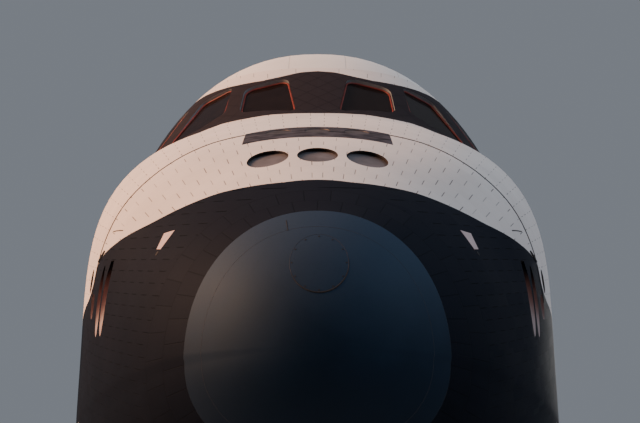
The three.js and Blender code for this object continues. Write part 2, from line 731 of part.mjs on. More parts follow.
function aftFuselage() {
  const body = fuselageRings(BAY_END, BASE);
  const [station, height] = FLAP.hinge;
  const cheek = FLAP.half + 2;
  const shelfRing = (y, low, high) => [[cheek, low], [cheek, high], [-cheek, high], [-cheek, low]]
    .map(([x, z]) => vector([x, y, z]));
  const shelf = loft([
    shelfRing(BASE - 40, WING_FLOOR + 2, height + FLAP.radius + 2),
    shelfRing(station + 2, height - FLAP.radius, height + FLAP.radius),
  ], "x", "z");
  const inside = FLAP.half + RUN;
  const cove = bar([-inside, station, height], [inside, station, height], (FLAP.radius + RUN) * 1.01, 32);
  const lip = box([-inside, inside], [station - FLAP.radius * 0.4, FAR * 5], [200, 310]);
  const pad = box([-17, 17], [BAY_END, BASE], [470, TAIL.floor - SEAT]);
  const sockets = ENGINES.map(({ at, up, out }) => {
    const way = tilt(up, out);
    return bar(along(at, way, -SEAT), along(at, way, 150), ENGINE_BAY + SEAT, ENGINE_SIDES);
  });
  const solidShelf = cutBy(shelf, [cove, lip]);
  const pins = [-1, 1].map((side) => bar([side * 98, station, height], [side * 104, station, height], FLAP.pin));
  return joined([cutBy(joined([body, pad, attachPads("aft")]), sockets), solidShelf, ...pins]);
}

function bodyFlap() {
  const [station, height] = FLAP.hinge;
  const profile = [];
  for (let i = 0; i <= NOSE_STEPS; i++) {
    const turn = Math.PI / 2 + (Math.PI * i) / NOSE_STEPS;
    profile.push([station + FLAP.radius * Math.cos(turn), height + FLAP.radius * Math.sin(turn)]);
  }
  const foot = height - FLAP.radius + 2;
  profile.push([station + FLAP.chord, foot], [station + FLAP.chord, foot + FLAP.edge * 2]);
  const ring = (x) => profile.map(([y, z]) => vector([x, y, z]));
  const body = loft([ring(-FLAP.half), ring(FLAP.half)], "y", "z");
  const bores = [-1, 1].map((side) => {
    return bore([side * 97, station, height], [side * 106, station, height], FLAP.pin);
  });
  return cutBy(body, bores);
}

function mainEngine({ at, up, out }) {
  const throat = 50;
  const exit = { distance: 168, radius: 46.5 };
  const bell = (wall) => {
    const steps = [0, 0.1, 0.28, 0.6, 1];
    return steps.map((t) => [7 + wall + (exit.radius - 7) * t ** 0.62, throat + (exit.distance - throat) * t]);
  };
  const outer = [[0, 0], [12, 0], [27, 7], [27, 40], [20, 46]];
  const profile = [...outer, ...bell(1.4), ...bell(0).reverse(), [0, throat]];
  const piece = turned(profile, at, tilt(up, out), ENGINE_SIDES);
  const shield = turned([[0, 30], [ENGINE_BAY, 30], [ENGINE_BAY, 36], [24, 44], [0, 44]], at, tilt(up, out), ENGINE_SIDES);
  return piece.add(shield);
}

// Vertical tail with its split rudder.
function tailRing(height) {
  const { floor, top, kink, crest, edge } = TAIL;
  const leading =
    height < kink
      ? THREE.MathUtils.mapLinear(height, floor, kink, TAIL_LEADING.floor, TAIL_LEADING.kink)
      : THREE.MathUtils.mapLinear(height, kink, top, TAIL_LEADING.kink, TAIL_LEADING.top);
  const trailing = THREE.MathUtils.mapLinear(height, floor, top, TAIL_TRAILING.floor, TAIL_TRAILING.top);
  const chord = trailing - leading;
  const half = crest * chord * TAIL_WEDGE;
  const side = [[leading, edge], [leading + chord * 0.03, half * 0.22], [leading + chord * crest, half]];
  const port = [...side, [trailing, edge]].map(([y, x]) => vector([x, y, height]));
  const starboard = [...port].reverse().map((p) => vector([-p.x, p.y, p.z]));
  return [...port, ...starboard];
}

const tailWhole = loft([TAIL.floor, TAIL.kink, TAIL.top].map(tailRing), "x", "y");
const rudderFoot = [0, ...RUDDER.foot];
const rudderHead = [0, ...RUDDER.head];
const rudderAxis = vector(rudderHead).sub(vector(rudderFoot));
const rudderSpan = rudderAxis.length();
rudderAxis.normalize();

const rudderFrame = new THREE.Matrix4()
  .makeRotationX(-Math.atan2(rudderAxis.y, rudderAxis.z))
  .setPosition(vector(rudderFoot));

// Half of the tail's thickness where the rudder is hinged, at a distance up the hinge line.
function hingeHalf(distance) {
  return THREE.MathUtils.mapLinear(distance, 0, rudderSpan, RUDDER_HALF.foot, RUDDER_HALF.head);
}

// A block along the rudder's hinge line: its ends are square to it, its front and back given at each end.
function rudderBlock(low, high, reachAt, half = FAR) {
  const ring = (distance) => {
    const [front, back] = reachAt(distance);
    const corners = [[-half, front], [half, front], [half, back], [-half, back]];
    return corners.map(([x, y]) => vector([x, y, distance]).applyMatrix4(rudderFrame));
  };
  return loft([ring(low), ring(high)], "x", "y");
}

function rudderBar(low, high, radius) {
  const way = rudderAxis.toArray();
  return bar(along(rudderFoot, way, low), along(rudderFoot, way, high), radius, PIN_SIDES * 1.5);
}

function postCone(grow, low, high) {
  const radius = (distance) => hingeHalf(distance) * RUDDER_HALF.post + grow;
  const way = rudderAxis.toArray();
  return bar(along(rudderFoot, way, low), along(rudderFoot, way, high), radius(low), POST_SIDES, radius(high));
}

function chuteCase() {
  const { from, to, height, radius, nose } = CHUTE;
  const tube = bar([0, from, height], [0, to - nose, height], radius, POST_SIDES);
  return tube.add(bar([0, to - nose, height], [0, to, height], radius, POST_SIDES, radius - nose));
}

function verticalTail() {
  const { clear, web, aft } = RUDDER_SLOT;
  const slotFront = (distance) => -hingeHalf(distance) - clear;
  const slot = rudderBlock(0, rudderSpan, (distance) => [slotFront(distance), aft]);
  const postFront = (distance) => -hingeHalf(distance) * RUDDER_HALF.post - RUN;
  const seal = rudderBlock(0, rudderSpan, (distance) => [slotFront(distance) - web, postFront(distance)], web);
  const pins = [[-12, 8], [rudderSpan - 8, rudderSpan + 10]].map((ends) => rudderBar(...ends, RUDDER.pin));
  const overEngine = box([-FAR, FAR], [BASE + SEAT, 1600], [400, 514]);
  return joined([cutBy(tailWhole, [slot, overEngine]), seal, chuteCase(), ...pins]);
}

function rudderPost() {
  const cone = postCone(0, RUDDER_TAB.post, rudderSpan - RUDDER_TAB.post);
  const way = rudderAxis.toArray();
  const sockets = [[-20, 12], [rudderSpan - 12, rudderSpan + 20]].map(([low, high]) => {
    return bore(along(rudderFoot, way, low), along(rudderFoot, way, high), RUDDER.pin, PIN_SIDES * 1.5);
  });
  return cutBy(cone, sockets);
}

function speedbrake() {
  const beyond = (span) => box([span, FAR], [0, 2000], [0, 2000]);
  const room = rudderBlock(RUN * 2, rudderSpan - RUN * 2, () => [0, RUDDER_SLOT.aft]);
  const round = RUDDER_HALF.foot * RUDDER_HALF.post * (1 / Math.cos(Math.PI / POST_SIDES) - 1) + RUN;
  const panel = tailWhole.intersect(room).intersect(beyond(SPLIT)).subtract(postCone(round, -5, rudderSpan + 5));
  const { post, thickness } = RUDDER_TAB;
  const tabs = [
    [post - thickness - SEAT, post - SEAT],
    [rudderSpan - post + SEAT, rudderSpan - post + SEAT + thickness],
  ];
  const plates = tabs.map(([low, high]) => {
    const behind = rudderBlock(low - 1, high + 1, () => [RUN, RUDDER_SLOT.aft]);
    const disc = postCone(round + 1.1, low, high).intersect(behind).intersect(beyond(SPLIT));
    return disc.subtract(rudderBar(low - 1, high + 1, RUDDER.pin + RUN));
  });
  return joined([panel, ...plates]);
}

// Rear pods.
function podRing({ station, span, height, width, rise, power }, sides) {
  const part = (value) => Math.sign(value) * Math.abs(value) ** (2 / power);
  return Array.from({ length: sides }, (_, i) => {
    const turn = ((i + 0.5) / sides) * 2 * Math.PI;
    return vector([span + width * part(Math.cos(turn)), station, height + rise * part(Math.sin(turn))]);
  });
}

function pod() {
  const body = loft(POD_SECTIONS.map((section) => podRing(section, POD_SIDES)), "x", "z");
  const jets = loft(JETS_SECTIONS.map((section) => podRing(section, JETS_SIDES)), "x", "z");
  const tailGap = box([-FAR, 17.5], [1200, 1700], [400, 600]);
  return cutBy(body.add(jets), [besideHull, tailGap]);
}

function podNozzle() {
  const { at, up, out } = POD_NOZZLE;
  const bell = (wall) => [0, 0.15, 0.5, 1].map((t) => [4.5 + wall + 16.5 * t ** 0.65, 14 + 58 * t]);
  const profile = [[0, -6], [10, -6], [10, 10], ...bell(1), ...bell(0).reverse(), [0, 14]];
  const base = box([40, 140], [1400, 1520 + SEAT], [400, 600]);
  return turned(profile, at, tilt(up, out), 18).subtract(base);
}

// Landing gear.
function groundAt(station) {
  return (GROUND - station * Math.sin(PARKED_PITCH)) / Math.cos(PARKED_PITCH);
}

const axleHeight = ({ station, tyre }) => groundAt(station) + tyre / Math.cos(PARKED_PITCH);

function tyre(gear, span) {
  const { tyre: radius, width, rim } = gear;
  const half = width / 2;
  const deep = radius - rim;
  const profile = [
    [rim, -half * 0.72],
    [rim + deep * 0.7, -half],
    [radius - deep * 0.08, -half * 0.72],
    [radius, -half * 0.35],
    [radius, half * 0.35],
    [radius - deep * 0.08, half * 0.72],
    [rim + deep * 0.7, half],
    [rim, half * 0.72],
    [rim, -half * 0.72],
  ];
  return turned(profile, [span, gear.station, axleHeight(gear)], [1, 0, 0], TYRE_SIDES);
}

function wheelset(gear, span) {
  const height = axleHeight(gear);
  const at = (x) => [x, gear.station, height];
  const rims = [-1, 1].flatMap((side) => {
    const middle = span + side * gear.track;
    const half = gear.width * BEAD;
    const drum = bar(at(middle - half), at(middle + half), gear.rim - SEAT, TYRE_SIDES);
    const outside = middle + side * half;
    const dish = bar(at(outside - side * half * 0.7), at(outside + side), gear.rim * 0.8, HUB_SIDES);
    const hub = bar(at(middle), at(outside - side * half * 0.2), gear.rim * 0.34, HUB_SIDES);
    return [drum.subtract(dish), hub];
  });
  const reachOut = gear.track + gear.width * BEAD * 0.5;
  const axle = bar(at(span - reachOut), at(span + reachOut), gear.axle, AXLE_SIDES);
  return joined([axle, ...rims]);
}

function axleHousing(gear, span) {
  const half = gear.track - gear.width * BEAD - 0.6;
  const at = (x) => [x, gear.station, axleHeight(gear)];
  return {
    tube: bar(at(span - half), at(span + half), gear.axle + 1.6, 20),
    hole: bore(at(span - FAR / 4), at(span + FAR / 4), gear.axle, AXLE_SIDES),
  };
}

function noseLeg() {
  const { station, leg, foot } = NOSE_GEAR;
  const { half, roof } = NOSE_WELL;
  const top = NOSE_TRUNNION.height;
  const reachOut = half - SEAT;
  const trunnion = bar([-reachOut, station, top], [reachOut, station, top], NOSE_TRUNNION.radius, 16);
  const strut = bar([0, station, foot], [0, station, top + 4], leg, 20);
  const brace = bar([0, station - 2, 262], [0, station - 50, roof - 4], 2, 12);
  const head = box([-5, 5], [station - 56, station - 46], [roof - 9, roof - SEAT]);
  return joined([trunnion, strut, brace, head]);
}

function noseFork() {
  const { station, leg, foot } = NOSE_GEAR;
  const { tube, hole } = axleHousing(NOSE_GEAR, 0);
  const piston = bar([0, station, axleHeight(NOSE_GEAR)], [0, station, foot - SEAT], 3, 20);
  const collar = bar([0, station, foot - 3], [0, station, foot - SEAT], leg, 20);
  const link = box([-1.2, 1.2], [station + 2, station + 6], [foot - 12, foot - 1]);
  return joined([piston, collar, link, tube]).subtract(hole);
}

function mainLeg() {
  const { station, span, leg } = MAIN_GEAR;
  const { low, high, roof } = MAIN_WELL;
  const top = MAIN_TRUNNION.height;
  const { tube, hole } = axleHousing(MAIN_GEAR, span);
  const trunnion = bar([low + SEAT, station, top], [high - SEAT, station, top], MAIN_TRUNNION.radius, 16);
  const cylinder = bar([span, station, 222], [span, station, top + 4], leg, 20);
  const piston = bar([span, station, axleHeight(MAIN_GEAR)], [span, station, 224], 4.2, 20);
  const brace = bar([span, station - 3, 236], [span, station - 62, roof - 5], 2.6, 12);
  const head = box([span - 6, span + 6], [station - 70, station - 56], [roof - 10, roof - SEAT]);
  return joined([trunnion, cylinder, piston, brace, head, tube]).subtract(hole);
}

function turnAbout(geometryPiece, from, to, degrees) {
  const axis = vector(to).sub(vector(from)).normalize();
  const matrix = new THREE.Matrix4()
    .makeTranslation(...from)
    .multiply(new THREE.Matrix4().makeRotationAxis(axis, THREE.MathUtils.degToRad(degrees)))
    .multiply(new THREE.Matrix4().makeTranslation(...from.map((value) => -value)));
  return geometryPiece.transform(matrix.elements);
}

function noseDoor() {
  const { start, end, half } = NOSE_WELL;
  const skin = hull(stationsBetween(start - 4, end + 4));
  const inner = hull(stationsBetween(start - 6, end + 6), DOOR_PANEL);
  const edge = 0.6;
  const room = box([0.2, half - 0.1], [start + edge, end - edge], [200, NOSE_WELL.roof]);
  const panel = skin.subtract(inner).intersect(room);
  const hingeAt = (station) => {
    const at = sectionAt(station);
    const part = 1 - (half / at.width) ** at.below;
    return [half - 0.1, station, at.waist - (at.waist - at.belly) * part ** (1 / at.below) - NOSE_DOOR_DROP];
  };
  const from = hingeAt(start);
  const to = hingeAt(end);
  const hung = turnAbout(panel, from, to, -90);
  const arms = [0.15, 0.5, 0.85].map((part) => {
    const middle = from.map((value, i) => value + (to[i] - value) * part);
    return box([half - 2.4, half - SEAT], [middle[1] - 2, middle[1] + 2], [middle[2] - 7, middle[2] + 9]);
  });
  return joined([hung, ...arms]);
}

function mainDoor() {
  const { start, end, low, high } = MAIN_WELL;
  const foot = wingFloor(high);
  const width = high - low;
  const edge = 0.6;
  const top = foot - 0.6;
  const panel = box([high - DOOR_PANEL - 0.4, high - 0.4], [start + edge, end - edge], [top - width, top]);
  const arms = [0.12, 0.5, 0.88].map((part) => {
    const middle = THREE.MathUtils.lerp(start, end, part);
    return box([high - 3, high - SEAT], [middle - 3, middle + 3], [foot - 8, foot + 14]);
  });
  return joined([panel, ...arms]);
}

// Assembly.
function pair(name, piece, look) {
  place(`${name}_left`, piece, look);
  place(`${name}_right`, mirrored(piece), look);
}

place("nose_cap", noseCap(), "carbon");
place("forward_rcs_module", thrusterModule(), "whiteTile");
place("forward_fuselage_lower", forwardLower(), "blackTile");
place("forward_fuselage_upper", forwardUpper(), "whiteTile");
for (const [name, corners] of WINDOWS) pair(name, windowPane(corners), "glass");
place("side_hatch", sideHatch(), "whiteTile");
place("flight_deck", flightDeck(), "cabin");
place("instrument_panel", instrumentPanel(), "cabin");
place("mid_fuselage", midFuselage(), "blanket");
pair("payload_bay_door", bayDoor(), "radiator");
pair("wing", wing(), "whiteTile");
pair("wing_leading_edge", wingEdge(), "carbon");
for (const panel of ELEVONS) pair(panel.name, elevon(panel), "whiteTile");
place("aft_fuselage", aftFuselage(), "blanket");
place("vertical_tail", verticalTail(), "blanket");
place("rudder_post", rudderPost(), "blackTile");
pair("speedbrake", speedbrake(), "blanket");
pair("oms_pod", pod(), "blanket");
pair("oms_nozzle", podNozzle(), "engine");
place("body_flap", bodyFlap(), "blackTile");
for (const engine of ENGINES) place(engine.name, mainEngine(engine), "engine");
place("nose_gear_leg", noseLeg(), "gear");
place("nose_gear_fork", noseFork(), "gear");
place("nose_wheelset", wheelset(NOSE_GEAR, 0), "gear");
pair("nose_tyre", tyre(NOSE_GEAR, NOSE_GEAR.track), "tyre");
pair("main_gear_leg", mainLeg(), "gear");
pair("main_wheelset", wheelset(MAIN_GEAR, MAIN_GEAR.span), "gear");
pair("main_tyre_inner", tyre(MAIN_GEAR, MAIN_GEAR.span - MAIN_GEAR.track), "tyre");
pair("main_tyre_outer", tyre(MAIN_GEAR, MAIN_GEAR.span + MAIN_GEAR.track), "tyre");
pair("nose_gear_door", noseDoor(), "whiteTile");
pair("main_gear_door", mainDoor(), "blackTile");

airframe.rotation.x = PARKED_PITCH;
airframe.scale.setScalar(MM_PER_INCH);
const orbiter = new THREE.Group();
orbiter.add(airframe);
orbiter.updateMatrixWorld(true);
const bounds = new THREE.Box3().setFromObject(orbiter, true);
const middle = bounds.getCenter(new THREE.Vector3());
airframe.position.set(-middle.x, -middle.y, -bounds.min.z);

export default orbiter;
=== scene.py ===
"""Finish of a parked space shuttle orbiter, built round its packed frame."""

import json
import math

import bmesh
import bpy
import numpy as np
from bpy.props import FloatProperty, FloatVectorProperty, PointerProperty
from mathutils import Matrix, Vector


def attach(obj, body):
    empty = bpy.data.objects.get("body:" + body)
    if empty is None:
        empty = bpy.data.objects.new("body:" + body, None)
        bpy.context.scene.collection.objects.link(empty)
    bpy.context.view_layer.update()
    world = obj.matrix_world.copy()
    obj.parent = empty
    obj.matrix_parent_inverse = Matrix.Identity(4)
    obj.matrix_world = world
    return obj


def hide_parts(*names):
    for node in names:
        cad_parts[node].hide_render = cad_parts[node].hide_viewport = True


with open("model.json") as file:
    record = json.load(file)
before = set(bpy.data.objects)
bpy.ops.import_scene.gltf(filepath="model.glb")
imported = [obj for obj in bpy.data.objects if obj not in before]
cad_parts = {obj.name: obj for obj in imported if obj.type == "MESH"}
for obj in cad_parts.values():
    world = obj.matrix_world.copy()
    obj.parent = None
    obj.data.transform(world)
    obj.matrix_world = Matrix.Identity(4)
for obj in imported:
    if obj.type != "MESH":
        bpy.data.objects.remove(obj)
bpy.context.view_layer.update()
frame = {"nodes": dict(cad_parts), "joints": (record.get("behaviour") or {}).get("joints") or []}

bl_info = {
    "name": "Orbiter finish",
    "version": (1, 0, 0),
    "blender": (4, 5, 0),
    "location": "3D View > Sidebar > Orbiter",
    "description": "Tiles, blankets, windows, thrusters, bay, wings, engines and gear of a parked orbiter",
    "category": "Add Mesh",
}

# The airframe's own inches: x to port, y aft (the station), z up (the waterline). The frame shows where
# its nose gear's steering axis is, and from that its parked place in metres.
INCH = 0.0254
PARKED_PITCH = math.radians(3.5)
STEERING_AXIS = Vector((0, 378, 240))
steering = next(joint for joint in frame["joints"] if joint["name"] == "nose_steering")
TURN = Matrix.Rotation(PARKED_PITCH, 4, "X")
ORIGIN = Vector(steering["pos_m"]) - INCH * (TURN @ STEERING_AXIS)
PARKED = Matrix.Translation(ORIGIN) @ TURN @ Matrix.Scale(INCH, 4)

SEAT = 0.3 / 25.4  # between pieces that rest on each other
RUN = 6.5 / 25.4  # round pieces that move
FAR = 400  # past the orbiter's sides, and doubled past its top
STATIONS = (0, 2000)  # past its nose and tail

# Fuselage.
NOSE_TIP = 238
CAP_END = 256
CABIN_END = 582
BAY_END = 1307
BASE = 1511
HALF_WIDTH = 105
NOSE_LENGTH = 352
NOSE_RUN_POWER = 1.8
NOSE_RISE_POWER = 0.48
BAY_RADIUS = 94
BAY_AXIS = 400
SILL = 414
WALL = 5
DECK = 336
TIP_HEIGHT = 336
LOWER_STEPS = 30
UPPER_STEPS = 46
FILLET_POWER = 80
HALVINGS = 32
SECTION_HEIGHTS = ("belly", "waist", "shoulder", "roof")
SECTION_COLUMNS = (*SECTION_HEIGHTS, "below", "side", "top", "dome")
SECTIONS = np.array([
    # station, belly, waist, shoulder, roof, below, side, top, dome
    [256, 308, 334, 372.5, 372, 2.1, 2.1, 2.2, 2.1],
    [280, 297.5, 331, 386.5, 380, 2.2, 2, 2.6, 2.1],
    [305, 290.5, 328, 401, 390, 2.3, 1.95, 3, 2.1],
    [330, 285.8, 325.5, 414, 400, 2.4, 2.2, 4.2, 2.1],
    [360, 281.5, 323, 427.5, 412, 2.55, 2.15, 4.6, 2.1],
    [380, 279.2, 321.5, 435.5, 430, 2.7, 2.1, 5, 2.1],
    [394, 277.8, 320.5, 440.5, 442, 2.8, 2.1, 5.3, 2.1],
    [413, 276, 319.5, 445, 457.5, 2.9, 2.1, 5.6, 2.15],
    [432, 274.4, 319, 449, 472.5, 3, 2.1, 5.8, 2.2],
    [450, 273, 318.5, 452, 484.8, 3.1, 2.1, 5.8, 2.2],
    [470, 271.8, 319, 454, 492.8, 3.3, 2.1, 5.8, 2.25],
    [490, 270.6, 324, 456, 497.6, 3.5, 2.1, 5.3, 2.25],
    [520, 269.3, 342, 468, 500, 4.2, 1.9, 3.2, 2.15],
    [550, 268.3, 370, 486, 500, 5.2, 2, 2.4, 2.05],
    [582, 267.5, 400, 500, 500, 7, 2, 2, 2],
])

# Windows on the port side, by their corners. They face away from the cabin's middle.
CABIN_MIDDLE = (0, 520, 400)
PANE = {"recess": 0.9, "thickness": 1.2}
SEAL = {"radius": 0.36, "inset": 0.75, "depth": 0.75}
WINDOWS = [
    # name, radius of its corners, corners as station, span, height
    ("window_front", 4.6, [(406.5, 30.5, 445.5), (426, 29.5, 461.5), (425, 12, 466), (395.5, 8, 442.5)]),
    ("window_middle", 3.2, [(423, 59.3, 437), (440.5, 48, 461), (434, 35, 465), (413, 36.6, 448),
                            (413, 46.8, 440.5)]),
    ("window_side", 2.6, [(437, 65.9, 438), (449, 54.3, 460), (462, 59.4, 461), (461, 72.9, 440)]),
    ("window_overhead", 2.6, [(478, 9, 495.3), (478, 27, 491.5), (498, 27, 494.5), (498, 9, 498.4)]),
    ("window_aft", 2.6, [(582, 10, 462), (582, 10, 478), (582, 26, 478), (582, 26, 462)]),
]

# Forward thruster module.
MODULE = {"start": 258, "end": 362}
THRUSTERS = [
    # middle as x, station, height; the way it points; radius; how deep its plug sits, or nothing
    ((0, 306, 401.4), (0, -0.964, 0.266), 6.15, 1.3),
    ((15.1, 307, 400.4), (0.08, -0.958, 0.27), 6.4, 1.3),
    ((0, 341, 419), (0, 0, 1), 4.3, 0.22),
    ((13, 341, 419), (0.05, 0, 1), 4.3, 0.22),
    ((64.6, 320, 361), (0.34, -0.1, -0.93), 3.0, None),
    ((67.4, 328, 361.6), (0.34, -0.1, -0.93), 3.0, None),
    ((75.8, 355, 371), (0.95, -0.12, 0.25), 4.1, None),
    ((72.5, 342, 360.5), (0.97, -0.1, 0.1), 4.1, None),
]
THRUSTER_BORE = {"depth": 10.5, "over": 14, "flare": 0.0135, "sides": 40}
SIDE_JETS_SPAN = 40  # the side jets lie outside this

# Side hatch.
HATCH = {"station": 506, "height": 371, "radius": 20, "taper": 1.6, "window": 5}
HATCH_HINGE = {"span": 104.6, "height": 348.2, "pin": 0.6}

# Payload bay doors.
DOOR = {"wall": 6, "bottom": SILL + 0.5, "end": 0.4, "middle": 0.13}
DOOR_HINGE = {"span": 107.2, "height": SILL, "pin": 1.1, "knuckle": 2.2, "length": 6, "lug": 3}
DOOR_HINGE_STATIONS = 640 + 152.5 * np.arange(5)
PIN_ROOM = 0.03  # between a hinge's pin and its hole

# Wing.
GLOVE = {"station": 500, "span": 104, "slope": 6.313, "end": 187}
EDGE_LINE = 837  # outside the glove the leading edge's station is this and the span
WING_TIP = 468
DIHEDRAL = math.tan(math.radians(3.5))
WING_FLOOR = 267.5
HINGE_STATION = 1387
TRAILING = {"station": 1526, "slope": math.tan(math.radians(10.056))}
HINGE_RADIUS = (17, 4.2)
LIP = {"upper": 0.6, "lower": 0.35, "thin": 0.3}
WING_SECTIONS = [
    # span, crest station, crest thickness, power of the nose
    (60, 1190, 60, 1.7),
    (105, 1190, 58, 1.7),
    (160, 1195, 51, 1.45),
    (187, 1205, 47, 1.1),
    (212, 1222, 43, 1),
    (260, 1250, 37, 1),
    (312, 1280, 30, 1),
    (400, 1330, 18.5, 1),
    (460, 1352, 11, 1),
    (WING_TIP, 1352, 9, 1),
]
EDGE_PANELS = {"start": 930, "chord": 28, "glove": 108.7, "gap": 0.22, "count": 22, "first": 148}
ELEVONS = [("elevon_inboard", 110, 311.5), ("elevon_outboard", 314.5, 465.4)]
ELEVON_BRACKETS = (107.6, 313, 467)
BRACKET = {"half": 0.6, "reach": 3, "pin": 1.2, "length": 4}

# Rear pods, engines and flap.
POD_SECTIONS = np.array([
    # station, middle span, middle height, half width, half height, power of the outline
    [1309, 75, 463, 11, 11, 2],
    [1324, 75, 467, 25, 24, 2],
    [1350, 77, 472, 36.5, 35, 2.1],
    [1392, 79, 477, 45, 44, 2.2],
    [1445, 81, 481, 49.5, 48.5, 2.4],
    [1495, 83, 483, 51, 49.5, 2.6],
    [1520, 84, 483, 50, 48.5, 2.6],
])
JETS_SECTIONS = np.array([
    [1440, 112, 462, 20, 27, 5],
    [1530, 117, 462, 17, 26, 5],
    [1568, 117, 461, 15, 23, 5],
    [1576, 117, 461, 12, 19, 5],
])
POD_NOZZLE = {"at": (88, 1522, 490), "up": 15.8, "out": 6.5}
ENGINES = [
    # name, gimbal, tilt up and out in degrees
    ("main_engine_upper", (0, 1445, 443), 16, 0),
    ("main_engine_left", (53, 1468.2, 342.6), 10, 3.5),
    ("main_engine_right", (-53, 1468.2, 342.6), 10, -3.5),
]
ENGINE_BAY = 38
SPINE = {"half": 17, "foot": 470, "top": 501.5}  # the fin's root on the aft fuselage
FIN_FRONT = {"heights": (501.5, 545, 816), "stations": (1309, 1322, 1593), "tiles": 14}
FLAP = {"hinge": (1534, 286), "radius": 9, "chord": 81, "half": 103, "edge": 1, "pin": 1.2}
CHUTE = {"from": 1500, "to": 1590, "height": 552, "radius": 13, "nose": 5}

# Landing gear.
GROUND = 239.65
NOSE_GEAR = {"station": 378, "tyre": 16, "width": 8.8, "track": 11.6, "rim": 8.6, "axle": 1.5, "span": 0}
NOSE_WELL = {"start": 290, "end": 390, "half": 27.7, "roof": 318}
MAIN_GEAR = {
    "station": 1172, "tyre": 22.25, "width": 16, "track": 18, "rim": 10.5, "axle": 2.6, "span": 136,
}
MAIN_WELL = {"start": 1032, "end": 1192, "low": 109, "high": 167, "roof": 311}
PISTONS = {"nose": (236, 249, 3.2), "main": (196, 222, 4.5)}  # bottom, top, radius of the bright part
BEAD = 0.36
TYRE_SIDES = 96

# Camera, as it stood before the nose: its place in the airframe's inches, and its pitch over the
# airframe's axis.
VIEWPOINT = (0, -48.6, 303.5)
VIEW_PITCH = math.radians(12.75)
FOCAL_PIXELS = 1223
IMAGE_WIDTH = 640
MIDDLE_PIXEL = 317.5


# Sizes and colours that a user would change.
class OrbiterSettings(bpy.types.PropertyGroup):
    """Finish of the whole orbiter"""

    white: FloatVectorProperty(
        name="White tiles", description="Colour of the white tiles",
        default=(0.78, 0.71, 0.66), subtype="COLOR")
    blanket: FloatVectorProperty(
        name="Blankets", description="Colour of the quilted blankets",
        default=(0.8, 0.76, 0.72), subtype="COLOR")
    black: FloatVectorProperty(
        name="Black tiles", description="Colour of the black tiles",
        default=(0.003, 0.0044, 0.0078), subtype="COLOR")
    band: FloatVectorProperty(
        name="Upper jets' field", description="Colour round the upward jets", default=(0.055, 0.05, 0.058),
        subtype="COLOR")
    carbon: FloatVectorProperty(
        name="Carbon shell", description="Colour of the nose cap and wing edges",
        default=(0.0038, 0.0105, 0.023), subtype="COLOR")
    seal: FloatVectorProperty(
        name="Window seals", description="Colour of the rubber round each pane",
        default=(0.2, 0.021, 0.012), subtype="COLOR")
    gap: FloatProperty(
        name="Tile gap", description="Width of the dark line between tiles",
        default=0.2 * INCH, min=0, unit="LENGTH")
    key: FloatProperty(
        name="Key light", description="Power of the warm key light in watts", default=15000, min=0)
    overhead: FloatProperty(
        name="Overhead light", description="Power of the light over the whole orbiter in watts",
        default=5200, min=0)
    fill: FloatProperty(
        name="Fill light", description="Power of the cool fill light in watts", default=2000, min=0)


# Shader expressions.
NOISE_ROUGHNESS = 0.55


class Wire:
    """An output socket whose arithmetic adds Math nodes."""

    def __init__(self, shade, socket):
        self.shade = shade
        self.socket = socket


OPERATIONS = [
    # method, the Math node's operation, whether its two values change places
    ("__add__", "ADD", False),
    ("__radd__", "ADD", True),
    ("__sub__", "SUBTRACT", False),
    ("__rsub__", "SUBTRACT", True),
    ("__mul__", "MULTIPLY", False),
    ("__rmul__", "MULTIPLY", True),
    ("__truediv__", "DIVIDE", False),
    ("__rtruediv__", "DIVIDE", True),
    ("__abs__", "ABSOLUTE", False),
    ("__lt__", "LESS_THAN", False),
    ("__gt__", "GREATER_THAN", False),
    ("floor", "FLOOR", False),
    ("fract", "FRACT", False),
    ("most", "MAXIMUM", False),
]


def wire_method(operation, swapped):
    def method(self, *others):
        values = (*others, self) if swapped else (self, *others)
        return self.shade.math(operation, *values)

    return method


for method_name, operation, swapped in OPERATIONS:
    setattr(Wire, method_name, wire_method(operation, swapped))


